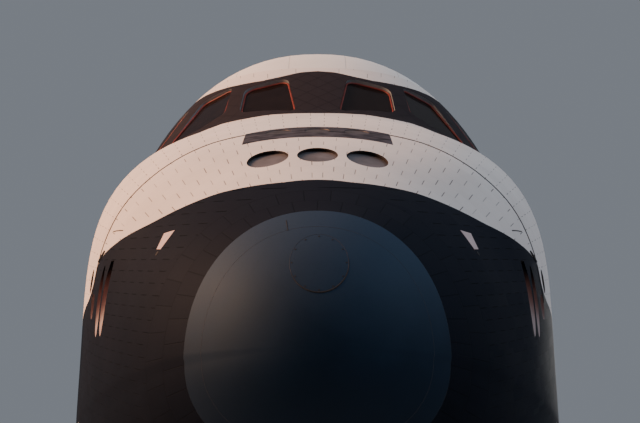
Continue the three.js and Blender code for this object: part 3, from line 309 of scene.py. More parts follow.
class Shade:
    """The node tree of one material. Lengths in it are the airframe's inches."""

    def __init__(self, name):
        self.material = bpy.data.materials.new(name)
        self.material.use_nodes = True
        self.tree = self.material.node_tree
        self.tree.nodes.clear()

    def node(self, kind, settings=None, values=None, output=0):
        """Adds a node, sets its settings, then links or fills its sockets, and gives one of its outputs."""
        made = self.tree.nodes.new(kind)
        for name, value in (settings or {}).items():
            setattr(made, name, value)
        for name, value in (values or {}).items():
            if isinstance(value, Wire):
                self.tree.links.new(value.socket, made.inputs[name])
            else:
                made.inputs[name].default_value = value
        return Wire(self, made.outputs[output])

    def math(self, operation, *values):
        return self.node("ShaderNodeMath", {"operation": operation}, dict(enumerate(values)))

    def place(self):
        """The point in the airframe's inches."""
        point = self.node("ShaderNodeTexCoord", output="Object")
        values = {"Vector": point, "Location": ORIGIN, "Rotation": (PARKED_PITCH, 0, 0)}
        values["Scale"] = (INCH,) * 3
        return self.node("ShaderNodeMapping", {"vector_type": "TEXTURE"}, values)

    def parts(self, vector):
        split = self.node("ShaderNodeSeparateXYZ", values={"Vector": vector})
        outputs = split.socket.node.outputs
        return [Wire(self, socket) for socket in outputs]

    def plane(self, place, axes):
        """The two coordinates of a place that lie in a plane, by the letters of their axes."""
        parts = dict(zip("xyz", self.parts(place)))
        return [parts[axis] for axis in axes]

    def joined(self, *values):
        return self.node("ShaderNodeCombineXYZ", values=dict(zip("XYZ", values)))

    def mix(self, factor, first, second):
        """Colour between two, by a factor from 0 to 1."""
        values = {0: factor, 6: first, 7: second}
        return self.node("ShaderNodeMix", {"data_type": "RGBA"}, values, output=2)

    def step(self, value, low, high, to_low=0.0, to_high=1.0):
        """Smooth change between two limits."""
        settings = {"interpolation_type": "SMOOTHSTEP"}
        values = {"Value": value, "From Min": low, "From Max": high}
        values.update({"To Min": to_low, "To Max": to_high})
        return self.node("ShaderNodeMapRange", settings, values)

    def curve(self, value, points):
        """Straight lines through points."""
        xs, ys = zip(*points)
        share = (value - xs[0]) / (xs[-1] - xs[0])
        bottom, top = min(ys), max(ys)
        made = self.node("ShaderNodeFloatCurve", values={"Value": share})
        mapping = made.socket.node.mapping
        curve = mapping.curves[0]
        for x, y in points[1:-1]:
            curve.points.new((x - xs[0]) / (xs[-1] - xs[0]), (y - bottom) / (top - bottom))
        curve.points[0].location = (0, (ys[0] - bottom) / (top - bottom))
        curve.points[len(points) - 1].location = (1, (ys[-1] - bottom) / (top - bottom))
        for point in curve.points:
            point.handle_type = "VECTOR"
        mapping.update()
        return made * (top - bottom) + bottom

    def noise(self, vector, scale, detail):
        values = {"Vector": vector, "Scale": scale, "Detail": detail, "Roughness": NOISE_ROUGHNESS}
        return self.node("ShaderNodeTexNoise", values=values)

    def chance(self, *values):
        """A number from 0 to 1 that is the same for like whole numbers."""
        return self.node("ShaderNodeTexWhiteNoise", values={"Vector": self.joined(*values)})

    def line(self, value, pitch, width):
        """1 on lines that lie one pitch apart, 0 between them."""
        away = abs((value / pitch + 0.5).fract() - 0.5) * pitch
        return self.step(away, width * 0.35, width * 0.85, 1.0, 0.0)

    def bump(self, height, strength, distance=0.1 * INCH):
        values = {"Height": height, "Strength": strength, "Distance": distance}
        return self.node("ShaderNodeBump", values=values)

    def surface(self, colour, roughness, normal=None, **constants):
        """Ends the tree in a Principled shader. Constants are its other sockets, by name."""
        values = {"Base Color": colour, "Roughness": roughness}
        if normal is not None:
            values["Normal"] = normal
        sockets = {name: name.replace("_", " ").title().replace("Ior", "IOR") for name in constants}
        values.update({sockets[name]: value for name, value in constants.items()})
        shader = self.node("ShaderNodeBsdfPrincipled", values=values)
        end = self.tree.nodes.new("ShaderNodeOutputMaterial")
        self.tree.links.new(shader.socket, end.inputs["Surface"])
        return self.material


def colour_of(name, share=1.0):
    """One of the settings' colours, darker or lighter by a share."""
    return tuple(value * share for value in getattr(bpy.context.scene.orbiter, name)) + (1.0,)


# Materials.
# Height of the border between black and white by station: level with the crown ahead of the thrusters,
# then down the side to the wing's glove.
BLACK_EDGE = [
    (238, 404), (279.4, 404), (280.3, 386.6), (283, 386.4), (290, 385.7), (297.5, 383.4),
    (307.7, 380.4), (325.2, 377.2), (342, 375.4), (345.5, 369.5), (352.3, 366), (360, 364.8),
    (395, 364), (420, 356), (450, 341), (490, 315), (520, 299), (560, 289), (700, 285),
]
# Height of the windshield's dark surround by span.
SURROUND_LOW = [
    (0, 441), (18, 441.4), (28.4, 440.6), (36.7, 440.2), (45.7, 437.6), (53.9, 434), (63.4, 433.4),
    (68, 434.6), (74, 437), (90, 440),
]
SURROUND_TOP = [
    (0, 471.2), (7, 470.4), (15, 467.8), (22.6, 466.2), (32, 466.2), (45, 466.9), (53, 468.2),
    (60, 473), (90, 490),
]
SURROUND = {"start": 380, "end": 466.5}
# The dark field round the upward jets, whose front and back bow with the square of the span.
FIELD = {
    "half": 24.1, "front": 328.9, "front_bow": 0.0033, "back": 349.9, "back_bow": 0.008,
    "height": 405, "end": 372,
}
OVERHEAD = {"span": 18, "half_span": 12.2, "station": 488, "half_length": 13.2, "height": 470}
SOFT = {"station": 470, "height": 474}  # blankets lie behind the one and above the other
AFT = (372, 380)  # stations over which the nose's rows of tiles give way to slanting ones
NOSE_ROWS = {"until": 19.0, "pitch": 9.3, "count": 18}  # the long tiles next to the cap
SIDE_ROWS = {"pitch": 8.6, "rise": 0.182, "height": 3.3, "dash": 0.25, "faint": (300, 345)}
WHITE_ROWS = {"pitch": 6.0, "count": 27, "dash": 0.38}
BELLY_TILE = 6.0
QUILT = (30, 24)  # inches of a blanket along the hull and round it
DIAGONAL = 0.7071
# Heights over which the black tiles on the nose turn paler towards the top: partly dust, partly painted
# light falling from above.
DUST_AND_PAINTED_LIGHT_HEIGHTS = (318, 392)
# Heights over which the cap turns paler and bluer towards its top: partly dust, partly painted light from
# above.
CAP_DUST_AND_PAINTED_LIGHT_HEIGHTS = (335, 378)
WING_EDGE_START = 500  # the carbon behind this station is the wings'

# Fixed colours that shade the settings' ones.
TONES = {
    "white_joint": (0.05, 0.035, 0.03, 1),
    "black_joint": (0.0012, 0.0012, 0.0016, 1),
    # paler black for the upper nose: partly dust, partly painted light from above
    "dust_and_painted_light": (0.0105, 0.0115, 0.0175, 1),
    "surround": (0.029, 0.0225, 0.0245, 1),
    "flat_black_joint": (0.005, 0.005, 0.006, 1),
    "flat_white_joint": (0.2, 0.18, 0.16, 1),
    "wing_edge": (0.03, 0.032, 0.036, 1),
    # paler, bluer colour for the cap's top: partly dust, partly painted light from above
    "cap_dust_and_painted_light": (0.031, 0.05, 0.082, 1),
    "clear_glass": (0.016, 0.009, 0.008, 1),
    "hazy_glass": (0.035, 0.022, 0.02, 1),
    "radiator_dull": (0.62, 0.63, 0.65, 1),
    "radiator_bright": (0.78, 0.78, 0.78, 1),
    "radiator_tube": (0.5, 0.5, 0.52, 1),
    "radiator_joint": (0.2, 0.2, 0.21, 1),
    "soot": (0.012, 0.008, 0.008, 1),
    "heated": (0.23, 0.12, 0.105, 1),
    "bare": (0.36, 0.27, 0.255, 1),
    "floor_dark": (0.3, 0.31, 0.33, 1),
    "floor_light": (0.34, 0.35, 0.37, 1),
}


def tile_gap():
    return bpy.context.scene.orbiter.gap / INCH


def hull_regions(shade, span, station, height):
    """The upward jets' field, the windows' surround, all that is black, and the blankets: each 0 or 1."""
    crown = (height > FIELD["height"]) * (station < FIELD["end"])
    field = (span < FIELD["half"]) * (station > FIELD["front"] - span * span * FIELD["front_bow"])
    field = field * (station < FIELD["back"] - span * span * FIELD["back_bow"]) * crown
    surround = (height > shade.curve(span, SURROUND_LOW)) * (height < shade.curve(span, SURROUND_TOP))
    surround = surround * (station < SURROUND["end"]) * (station > SURROUND["start"])
    overhead = abs(span - OVERHEAD["span"]) < OVERHEAD["half_span"]
    overhead = overhead * (abs(station - OVERHEAD["station"]) < OVERHEAD["half_length"])
    overhead = overhead * (height > OVERHEAD["height"])
    below = height < shade.curve(station, BLACK_EDGE)
    black = below.most(surround).most(field).most(overhead)
    soft = ((station > SOFT["station"]).most(height > SOFT["height"])) * (1 - black)
    return field, surround, black, soft


def black_rows(shade, x, station, height, tiles):
    """Lines between the black tiles and a chance shade for each: rings of tiles next to the cap, then long
    rows down the sides, then slanting ones, with the share of these."""
    along, share, girth = tiles
    gap = tile_gap()
    near = along < CAP_ALONG + NOSE_ROWS["until"]
    aft = shade.step(station, *AFT)
    nose_row = (along - CAP_ALONG) / NOSE_ROWS["pitch"]
    nose_split = share * NOSE_ROWS["count"] + 0.5 * nose_row.floor()
    nose_ends = shade.line(nose_split, 1, gap * NOSE_ROWS["count"] / girth)
    nose_lines = shade.line(nose_row, 1, gap / NOSE_ROWS["pitch"]).most(nose_ends)
    side_split = (height - station * SIDE_ROWS["rise"]) / SIDE_ROWS["height"]
    shift = shade.chance((side_split + 0.5).floor(), x > 0, 0)
    side_row = (along - CAP_ALONG) / SIDE_ROWS["pitch"] + shift
    dash = shade.line(side_split, 1, gap / SIDE_ROWS["height"])
    dash = dash * (abs(side_row.fract() - 0.5) < SIDE_ROWS["dash"])
    side_lines = dash * (shade.step(height, *SIDE_ROWS["faint"]) * 0.7 + 0.3)
    slant_a = (along + share * girth) * DIAGONAL
    slant_b = (along - share * girth) * DIAGONAL
    slant_lines = shade.line(slant_a, BELLY_TILE, gap).most(shade.line(slant_b, BELLY_TILE, gap)) * 0.6
    lines = shade.mix(aft, shade.mix(near, side_lines, nose_lines * 0.6), slant_lines)

    nose_tone = shade.chance(nose_row.floor(), nose_split.floor(), x > 0)
    side_tone = shade.chance(side_row.floor(), side_split.floor(), x > 0)
    slant_tone = shade.chance((slant_a / BELLY_TILE).floor(), (slant_b / BELLY_TILE).floor(), x > 0)
    return lines, shade.mix(aft, shade.mix(near, side_tone, nose_tone), slant_tone), aft


def white_rows(shade, x, tiles):
    """Dashes and rings between the white tiles, and a chance shade for each."""
    along, share, girth = tiles
    gap = tile_gap()
    row = (along - CAP_ALONG) / WHITE_ROWS["pitch"]
    split = share * WHITE_ROWS["count"] + 0.5 * row.floor() + 0.25
    dash = shade.line(split, 1, gap * WHITE_ROWS["count"] / girth)
    dash = dash * (abs(row.fract() - 0.5) < WHITE_ROWS["dash"])
    ring = shade.line(row, 1, gap * 0.6 / WHITE_ROWS["pitch"]) * 0.1
    return dash, ring, shade.chance(row.floor(), split.floor(), x > 0)


def hull_skin():
    """Skin of the fuselage: black and white tiles, blankets, and the dark field and surround."""
    shade = Shade("hull_skin")
    place = shade.place()
    x, station, height = shade.parts(place)
    tiles = shade.parts(shade.node("ShaderNodeAttribute", {"attribute_name": "tiles"}, output="Vector"))
    field, surround, black, soft = hull_regions(shade, abs(x), station, height)
    black_lines, black_tone, aft = black_rows(shade, x, station, height, tiles)
    dash, ring, white_tone = white_rows(shade, x, tiles)
    along, around = tiles[0], tiles[1] * tiles[2]
    quilt = shade.line(along, QUILT[0], 0.35).most(shade.line(around + QUILT[1] / 2, QUILT[1], 0.35))
    stitch = shade.line(along, 1.6, 0.5).most(shade.line(around, 1.6, 0.5))
    streaks = shade.noise(shade.joined(x * 0.6, station * 0.12, height * 0.6), 0.35, 4)
    cloud = shade.noise(place, 0.05, 3)

    white_colour = shade.mix(white_tone * 0.35, colour_of("white"), colour_of("white", 0.88))
    white_colour = shade.mix(shade.step(cloud, 0.4, 0.75) * 0.35, white_colour, colour_of("white", 0.8))
    joints = (dash * (white_tone * 0.65 + 0.3)).most(ring)
    white_colour = shade.mix(joints, white_colour, TONES["white_joint"])
    faded = shade.step(cloud, 0.35, 0.8) * 0.4
    soft_colour = shade.mix(faded, colour_of("blanket"), colour_of("blanket", 0.84))
    soft_colour = shade.mix(quilt * 0.45, soft_colour, colour_of("blanket", 0.45))

    black_colour = shade.mix(black_tone, colour_of("black", 0.92), colour_of("black", 1.1))
    black_colour = shade.mix(shade.step(streaks, 0.4, 0.8) * 0.6, black_colour, colour_of("black", 1.5))
    # Black tiles on the nose paler towards the top: partly dust, partly painted light from above.
    dust_and_painted_light = shade.step(height + cloud * 30, *DUST_AND_PAINTED_LIGHT_HEIGHTS) * (1 - aft)
    black_colour = shade.mix(dust_and_painted_light, black_colour, TONES["dust_and_painted_light"])
    blotch = shade.step(shade.noise(shade.joined(x * 0.35, station, 0), 0.4, 4), 0.38, 0.62)
    band = shade.mix(blotch, colour_of("band", 0.55), colour_of("band", 1.5))
    black_colour = shade.mix(field, black_colour, band)
    black_colour = shade.mix(surround * 0.95, black_colour, TONES["surround"])
    black_colour = shade.mix(black_lines * 0.95, black_colour, TONES["black_joint"])
    colour = shade.mix(black, shade.mix(soft, white_colour, soft_colour), black_colour)

    rough = 0.86 - black * 0.3 + black_tone * black * 0.06
    grain = shade.noise(place, 2.2, 2)
    pale_lines = shade.mix(soft, dash.most(ring * 4), quilt.most(stitch * 0.12))
    lines = shade.mix(black, pale_lines, black_lines)
    normal = shade.bump(grain * 0.12 - lines, 0.35, 0.12 * INCH)
    return shade.surface(colour, rough, normal, specular_ior_level=0.05, specular_tint=(0.35, 0.65, 1, 1))


def tiled(name, plane, base="black", diagonal=True):
    """Tiles laid square or slantwise over a plane, given by the two axes that it holds."""
    shade = Shade(name)
    place = shade.place()
    first, second = shade.plane(place, plane)
    gap = tile_gap()
    if diagonal:
        first, second = (first + second) * DIAGONAL, (first - second) * DIAGONAL
    lines = shade.line(first, BELLY_TILE, gap).most(shade.line(second, BELLY_TILE, gap))
    tone = shade.chance((first / BELLY_TILE).floor(), (second / BELLY_TILE).floor(), 0)
    cloud = shade.noise(place, 0.04, 4)
    colour = shade.mix(tone, colour_of(base, 0.78), colour_of(base, 1.2))
    worn = 1.9 if base == "black" else 0.86
    colour = shade.mix(shade.step(cloud, 0.42, 0.8) * 0.5, colour, colour_of(base, worn))
    colour = shade.mix(lines * 0.8, colour, TONES[f"flat_{base}_joint"])
    rough = 0.5 + tone * 0.14 if base == "black" else 0.78 + tone * 0.1
    normal = shade.bump(shade.noise(place, 2.0, 2) * 0.1 - lines, 0.3, 0.12 * INCH)
    return shade.surface(colour, rough, normal, specular_ior_level=0.12)


def quilted(name, plane):
    """White blankets: large sheets with sewn quilting, their joints a shade darker."""
    shade = Shade(name)
    place = shade.place()
    first, second = shade.plane(place, plane)
    seams = shade.line(first, QUILT[0], 0.4).most(shade.line(second, QUILT[1], 0.4))
    stitch = shade.line(first, 1.8, 0.5).most(shade.line(second, 1.8, 0.5))
    tone = shade.chance((first / QUILT[0] + 0.5).floor(), (second / QUILT[1] + 0.5).floor(), 0)
    cloud = shade.noise(place, 0.035, 4)
    colour = shade.mix(tone * 0.5, colour_of("blanket"), colour_of("blanket", 0.9))
    colour = shade.mix(shade.step(cloud, 0.4, 0.8) * 0.45, colour, colour_of("blanket", 0.78))
    colour = shade.mix(seams * 0.5, colour, colour_of("blanket", 0.4))
    normal = shade.bump(0.0 - seams - stitch * 0.15, 0.4, 0.15 * INCH)
    return shade.surface(colour, 0.9, normal, sheen_weight=0.15)


def carbon_shell():
    """Smooth coated carbon, faintly cloudy: dusty on the cap's top, greyer on the wings' edges."""
    shade = Shade("carbon_shell")
    place = shade.place()
    cloud = shade.noise(place, 0.07, 5)
    fine = shade.noise(place, 1.4, 3)
    station, height = shade.parts(place)[1:]
    colour = shade.mix(shade.step(cloud, 0.3, 0.72), colour_of("carbon", 0.9), colour_of("carbon", 1.12))
    colour = shade.mix(station > WING_EDGE_START, colour, TONES["wing_edge"])
    # The cap paler and bluer towards its top: partly dust, partly painted light from above.
    dust_and_painted_light = shade.step(height + cloud * 12, *CAP_DUST_AND_PAINTED_LIGHT_HEIGHTS)
    colour = shade.mix(dust_and_painted_light, colour, TONES["cap_dust_and_painted_light"])
    colour = shade.mix(shade.step(fine, 0.55, 0.8) * 0.2, colour, colour_of("carbon", 0.7))
    rough = 0.56 + cloud * 0.12
    skin = shade.bump(fine, 0.03, 0.05 * INCH)
    return shade.surface(colour, rough, skin, specular_ior_level=0.2, specular_tint=(0.5, 0.78, 1, 1))


def plain(name, colour, roughness, metallic=0.0, variation=0.2, scale=0.3, bump=0.05, **constants):
    """Paint, rubber or metal with soft clouding and a fine grain."""
    shade = Shade(name)
    place = shade.place()
    cloud = shade.noise(place, scale, 4)
    fine = shade.noise(place, scale * 14, 3)
    dark = tuple(value * (1 - variation) for value in colour) + (1,)
    light = tuple(value * (1 + variation * 0.6) for value in colour) + (1,)
    mixed = shade.mix(shade.step(cloud, 0.3, 0.7), dark, light)
    rough = roughness - 0.06 + cloud * 0.12
    normal = shade.bump(fine, bump, 0.05 * INCH)
    return shade.surface(mixed, rough, normal, metallic=metallic, **constants)


def pane_glass():
    """Dark, slightly smoky glass that lets a little of the cabin show."""
    shade = Shade("pane_glass")
    haze = shade.noise(shade.place(), 0.2, 2)
    colour = shade.mix(haze, TONES["clear_glass"], TONES["hazy_glass"])
    return shade.surface(colour, 0.08 + haze * 0.06, transmission_weight=0.5, ior=1.1)


def bell_metal(name, way, at, colour, pitch, roughness, metallic):
    """Metal of a nozzle: fine tubes that run its length, heat tint in bands along it."""
    shade = Shade(name)
    place = shade.place()
    forward = Vector(way).normalized()
    side = forward.orthogonal().normalized()
    up = forward.cross(side)
    kind = "ShaderNodeVectorMath"
    offset = shade.node(kind, {"operation": "SUBTRACT"}, {0: place, 1: Vector(at)})
    distance, across, over = (
        shade.node(kind, {"operation": "DOT_PRODUCT"}, {0: offset, 1: axis}, output="Value")
        for axis in (forward, side, up))
    angle = shade.math("ARCTAN2", over, across)
    tubes = shade.math("SINE", angle * pitch)
    tint = shade.noise(shade.joined(distance * 0.06, angle * 0.3, 0), 1.0, 3)
    stain = shade.noise(place, 0.12, 5)
    dark = tuple(value * 0.55 for value in colour) + (1,)
    warm = (colour[0] * 1.1, colour[1] * 0.92, colour[2] * 0.76, 1)
    mixed = shade.mix(shade.step(tint, 0.35, 0.7), colour + (1,), warm)
    mixed = shade.mix(shade.step(stain, 0.45, 0.8) * 0.7, mixed, dark)
    normal = shade.bump(tubes, 0.35, 0.06 * INCH)
    return shade.surface(mixed, roughness + stain * 0.15, normal, metallic=metallic)


def radiator_metal():
    """Silvered radiator with the fine lines of its tubes and the joints of its panels."""
    shade = Shade("radiator_metal")
    place = shade.place()
    station = shade.parts(place)[1]
    tubes = shade.line(station, 2.2, 0.5)
    joints = shade.line(station - 24, 60, 0.4)
    cloud = shade.noise(place, 0.05, 3)
    colour = shade.mix(cloud, TONES["radiator_dull"], TONES["radiator_bright"])
    colour = shade.mix(tubes * 0.25, colour, TONES["radiator_tube"])
    colour = shade.mix(joints * 0.6, colour, TONES["radiator_joint"])
    normal = shade.bump(tubes - joints, 0.25, 0.1 * INCH)
    return shade.surface(colour, 0.18 + cloud * 0.14, normal, metallic=0.85)


def scarfed_liner():
    """Bore of a side jet: soot at its top, then heat-tinted brown, then bare metal where it opens."""
    shade = Shade("scarfed_liner")
    place = shade.place()
    height = shade.parts(place)[2] + shade.noise(place, 0.5, 3) * 3 - 1.5
    colour = shade.mix(shade.step(height, 362, 370), TONES["heated"], TONES["soot"])
    colour = shade.mix(shade.step(height, 352, 361), TONES["bare"], colour)
    return shade.surface(colour, 0.5 + shade.noise(place, 0.8, 2) * 0.2)


PAINTS = {
    # look: name, colour, roughness, metallic share, variation, the clouds' scale, bump
    "liner": ("thruster_liner", (0.07, 0.055, 0.05), 0.5, 0.6, 0.35),
    "plug": ("thruster_plug", (0.12, 0.11, 0.118), 0.75, 0.0, 0.3, 0.12),
    "cover": ("upper_jet_cover", (0.05, 0.045, 0.05), 0.7, 0.0, 0.5, 0.25),
    "hole": ("dark_recess", (0.012, 0.011, 0.012), 0.8),
    "ring": ("cap_line", (0.045, 0.045, 0.052), 0.6),
    "mark": ("sensor_cover", (0.62, 0.47, 0.45), 0.6, 0.0, 0.1, 0.5),
    "seam": ("seam_filler", (0.03, 0.022, 0.02), 0.8),
    "cabin": ("cabin_paint", (0.2, 0.215, 0.22), 0.6, 0.0, 0.15),
    "seat": ("seat_cloth", (0.05, 0.055, 0.06), 0.9, 0.0, 0.3),
    "screen": ("screen_glass", (0.01, 0.012, 0.014), 0.08, 0.0, 0.1),
    "frame": ("bay_structure", (0.55, 0.57, 0.5), 0.55, 0.1, 0.15),
    "liner_cloth": ("bay_liner", (0.68, 0.67, 0.64), 0.9, 0.0, 0.12),
    "steel": ("polished_steel", (0.62, 0.62, 0.63), 0.22, 1.0, 0.1),
    "gear": ("gear_paint", (0.66, 0.67, 0.67), 0.42, 0.0, 0.1),
    "dark_metal": ("dark_metal", (0.1, 0.1, 0.105), 0.4, 0.9),
    "rubber": ("tyre_rubber", (0.022, 0.022, 0.023), 0.8, 0.0, 0.25, 0.2, 0.12),
}
MATERIALS = {}


def make_materials():
    """Every shared material, by look."""
    MATERIALS.update({
        "skin": hull_skin(),
        "carbon": carbon_shell(),
        "black_flat": tiled("black_tiles_flat", "xy"),
        "black_side": tiled("black_tiles_side", "yz", diagonal=False),
        "black_back": tiled("black_tiles_back", "xz", diagonal=False),
        "white_side": tiled("white_tiles_side", "yz", "white", diagonal=False),
        "quilt_flat": quilted("blanket_flat", "xy"),
        "quilt_side": quilted("blanket_side", "yz"),
        "glass": pane_glass(),
        "seal": plain("seal_rubber", tuple(bpy.context.scene.orbiter.seal), 0.55, variation=0.3),
        "pale_liner": scarfed_liner(),
        "radiator": radiator_metal(),
    })
    MATERIALS.update({look: plain(*row) for look, row in PAINTS.items()})


# Solids. Each function gives a closed body in the airframe's inches.
MERGE = 1e-4


def closed_mesh(points, faces):
    """Mesh of points and faces, its doubles merged and its faces pointing out."""
    mesh = bpy.data.meshes.new("body")
    mesh.from_pydata(np.asarray(points, float).reshape(-1, 3), [], faces)
    work = bmesh.new()
    work.from_mesh(mesh)
    bmesh.ops.remove_doubles(work, verts=work.verts, dist=MERGE)
    if work.calc_volume(signed=True) < 0:
        bmesh.ops.reverse_faces(work, faces=work.faces)
    work.to_mesh(mesh)
    work.free()
    return mesh


class Solid:
    """A closed body: + joins another to it, - cuts another away, & keeps what both hold."""

    def __init__(self, mesh):
        self.mesh = mesh

    def combined(self, other, operation):
        pair = [bpy.data.objects.new("body", part.mesh) for part in (self, other)]
        for part in pair:
            bpy.context.scene.collection.objects.link(part)
        modifier = pair[0].modifiers.new("Combine", "BOOLEAN")
        modifier.operation = operation
        modifier.solver = "MANIFOLD"
        modifier.object = pair[1]
        graph = bpy.context.evaluated_depsgraph_get()
        mesh = bpy.data.meshes.new_from_object(pair[0].evaluated_get(graph), depsgraph=graph)
        for part in pair:
            bpy.data.objects.remove(part)
        if not mesh.polygons:
            raise RuntimeError(f"nothing is left after {operation}")
        return Solid(mesh)

    def __add__(self, other):
        return self.combined(other, "UNION")

    def __sub__(self, other):
        return self.combined(other, "DIFFERENCE")

    def __and__(self, other):
        return self.combined(other, "INTERSECT")

    def mirrored(self):
        mesh = self.mesh.copy()
        mesh.transform(Matrix.Scale(-1, 4, Vector((1, 0, 0))))
        mesh.flip_normals()
        return Solid(mesh)


def joined(solids):
    whole, *rest = solids
    for solid in rest:
        whole = whole + solid
    return whole


def grid_faces(rows, columns, close_rows=False):
    """Quads over a grid whose columns run round: each row closes on itself, and the rows do where asked."""
    index = np.arange(rows * columns).reshape(rows, columns)
    if close_rows:
        index = np.vstack([index, index[:1]])
    after = np.roll(index, -1, axis=1)
    return np.stack([index[:-1], after[:-1], after[1:], index[1:]], -1).reshape(-1, 4).tolist()


def loft(rings):
    """Surface through rings of like points, its two ends filled flat."""
    rings = np.asarray(rings, float)
    rows, columns = rings.shape[:2]
    faces = grid_faces(rows, columns)
    last = (rows - 1) * columns
    faces += [list(range(columns))[::-1], list(range(last, last + columns))]
    return Solid(closed_mesh(rings, faces))


def block(x, y, z):
    """A box between two places on each axis."""
    corners = [(x[i], z[j]) for i, j in ((0, 0), (1, 0), (1, 1), (0, 1))]
    return loft([[(a, station, b) for a, b in corners] for station in y])


def across(way):
    """Two unit vectors square to a direction and to each other."""
    way = np.asarray(way, float) / np.linalg.norm(way)
    other = np.array([1.0, 0, 0]) if abs(way[0]) < 0.9 else np.array([0, 1.0, 0])
    side = np.cross(way, other)
    side /= np.linalg.norm(side)
    return side, np.cross(way, side)


def circle_of(sides):
    turn = np.arange(sides) * 2 * np.pi / sides
    return np.cos(turn)[:, None], np.sin(turn)[:, None]


def turned(profile, at, way, sides):
    """A profile of radius and distance pairs turned about an axis: ring points are the axis plus radius
    times a circle. A profile that doesn't start on the axis closes on itself."""
    profile = np.asarray(profile, float)
    way = np.asarray(way, float) / np.linalg.norm(way)
    side, up = across(way)
    cos, sin = circle_of(sides)
    circle = cos * side + sin * up
    points = np.asarray(at, float) + profile[:, 1, None, None] * way + profile[:, 0, None, None] * circle
    ring = profile[0, 0] > MERGE or profile[-1, 0] > MERGE
    return Solid(closed_mesh(points, grid_faces(len(profile), sides, close_rows=ring)))


def bar(start, end, radius, sides=32, end_radius=None):
    """A round bar or cone between two points."""
    start, end = np.asarray(start, float), np.asarray(end, float)
    length = np.linalg.norm(end - start)
    last = radius if end_radius is None else end_radius
    return turned([(0, 0), (radius, 0), (last, length), (0, length)], start, end - start, sides)


def rod(middle, axis, half, radius, sides=24):
    """A round bar along one of the airframe's axes, by its middle and half its length."""
    offset = half * np.eye(3)["xyz".index(axis)]
    return bar(np.array(middle) - offset, np.array(middle) + offset, radius, sides)


def ring_at(span, outline):
    """Points of an outline of station and height, at a span."""
    return np.column_stack([np.full(len(outline), span), outline])


def round_nose(station, height, radius):
    """Half a turn of station and height about a hinge, from its top forward to its bottom."""
    turn = np.pi / 2 + np.linspace(0, np.pi, 24)
    return np.stack([station + radius * np.cos(turn), height + radius * np.sin(turn)], -1)


def tube(path, radius, sides=8, close=False, up=(0, 0, 1)):
    """A round section carried along a path: each ring lies square to the path's direction there."""
    path = np.asarray(path, float)
    if close:
        tangent = np.roll(path, -1, axis=0) - np.roll(path, 1, axis=0)
    else:
        tangent = np.gradient(path, axis=0)
    tangent /= np.linalg.norm(tangent, axis=1, keepdims=True)
    side = np.cross(tangent, np.asarray(up, float))
    side /= np.linalg.norm(side, axis=1, keepdims=True)
    over = np.cross(side, tangent)
    cos, sin = circle_of(sides)
    rings = path[:, None] + radius * (cos * side[:, None] + sin * over[:, None])
    if close:
        return Solid(closed_mesh(rings, grid_faces(len(path), sides, close_rows=True)))
    return loft(rings)


# Fuselage outline.
def section_at(station):
    """The table's columns at stations: a cubic between rows, with the slope at each row that of the rows
    beside it. Ahead of the cap's end the heights shrink towards the tip with the width."""
    station = np.asarray(station, float)
    knots, values = SECTIONS[:, 0], SECTIONS[:, 1:]
    held = np.clip(station, CAP_END, CABIN_END)
    last = len(knots) - 1
    i = np.clip(np.searchsorted(knots, held, side="right"), 1, last)
    before = np.where(i > 1, i - 2, i)
    after = np.where(i < last, i + 1, i - 1)
    start, end = knots[i - 1], knots[i]
    first = 0.5 * (end - start) / (start - knots[before])
    final = 0.5 * (end - start) / (knots[after] - end)
    p = (held - start) / (end - start)
    weights = [
        (before, -first * p**3 + 2 * first * p**2 - first * p),
        (i - 1, (1 + first) * p**3 + (-1.5 - 2 * first) * p**2 + (-0.5 + first) * p + 1),
        (i, (-1 - final) * p**3 + (1.5 + final) * p**2 + 0.5 * p),
        (after, final * p**3 - final * p**2),
    ]
    mixed = sum(weight[..., None] * values[row] for row, weight in weights)
    section = {name: mixed[..., k] for k, name in enumerate(SECTION_COLUMNS)}
    scale = np.where(station < CAP_END, half_width(station) / half_width(CAP_END), 1.0)
    for name in SECTION_HEIGHTS:
        shrunk = TIP_HEIGHT + (section[name] - TIP_HEIGHT) * scale
        section[name] = np.where(station < CAP_END, shrunk, section[name])
    section["width"] = np.where(station < CABIN_END, half_width(station), HALF_WIDTH)
    return section


def half_width(station):
    """Half of the fuselage's width: close to a quarter of an ellipse from the nose back."""
    run = np.clip((np.asarray(station, float) - NOSE_TIP) / NOSE_LENGTH, 0, 1)
    return HALF_WIDTH * (1 - (1 - run) ** NOSE_RUN_POWER) ** NOSE_RISE_POWER


def reach(a, b, p, q, angle):
    """Distance from the middle, along an angle, to the outline where (x/a)^p + (z/b)^q is 1, by halving."""
    cos, sin = np.cos(angle), np.sin(angle)
    low = np.zeros(np.broadcast(a, b, p, angle).shape)
    high = low + 2 * np.maximum(a, b)
    for _ in range(HALVINGS):
        middle = (low + high) / 2
        inside = (middle * cos / a) ** p + (middle * sin / b) ** q < 1
        low = np.where(inside, middle, low)
        high = np.where(inside, high, middle)
    return low


def upper_radius(at, angle, inset=0.0):
    """The skin's distance from the waist at an angle up from the side: the farther of the shoulder's and
    the cabin's outlines, with a small fillet where they cross."""
    width = at["width"] - inset
    shoulder = reach(width, at["shoulder"] - at["waist"] - inset, at["side"], at["top"], angle)
    cabin = reach(width, at["roof"] - at["waist"] - inset, at["dome"], at["dome"], angle)
    return (shoulder**FILLET_POWER + cabin**FILLET_POWER) ** (1 / FILLET_POWER)


def skin_radius(at, angle):
    """The skin's distance from the waist at an angle up or down from the side."""
    lower = reach(at["width"], at["waist"] - at["belly"], at["below"], at["below"], np.abs(angle))
    return np.where(angle >= 0, upper_radius(at, np.abs(angle)), lower)


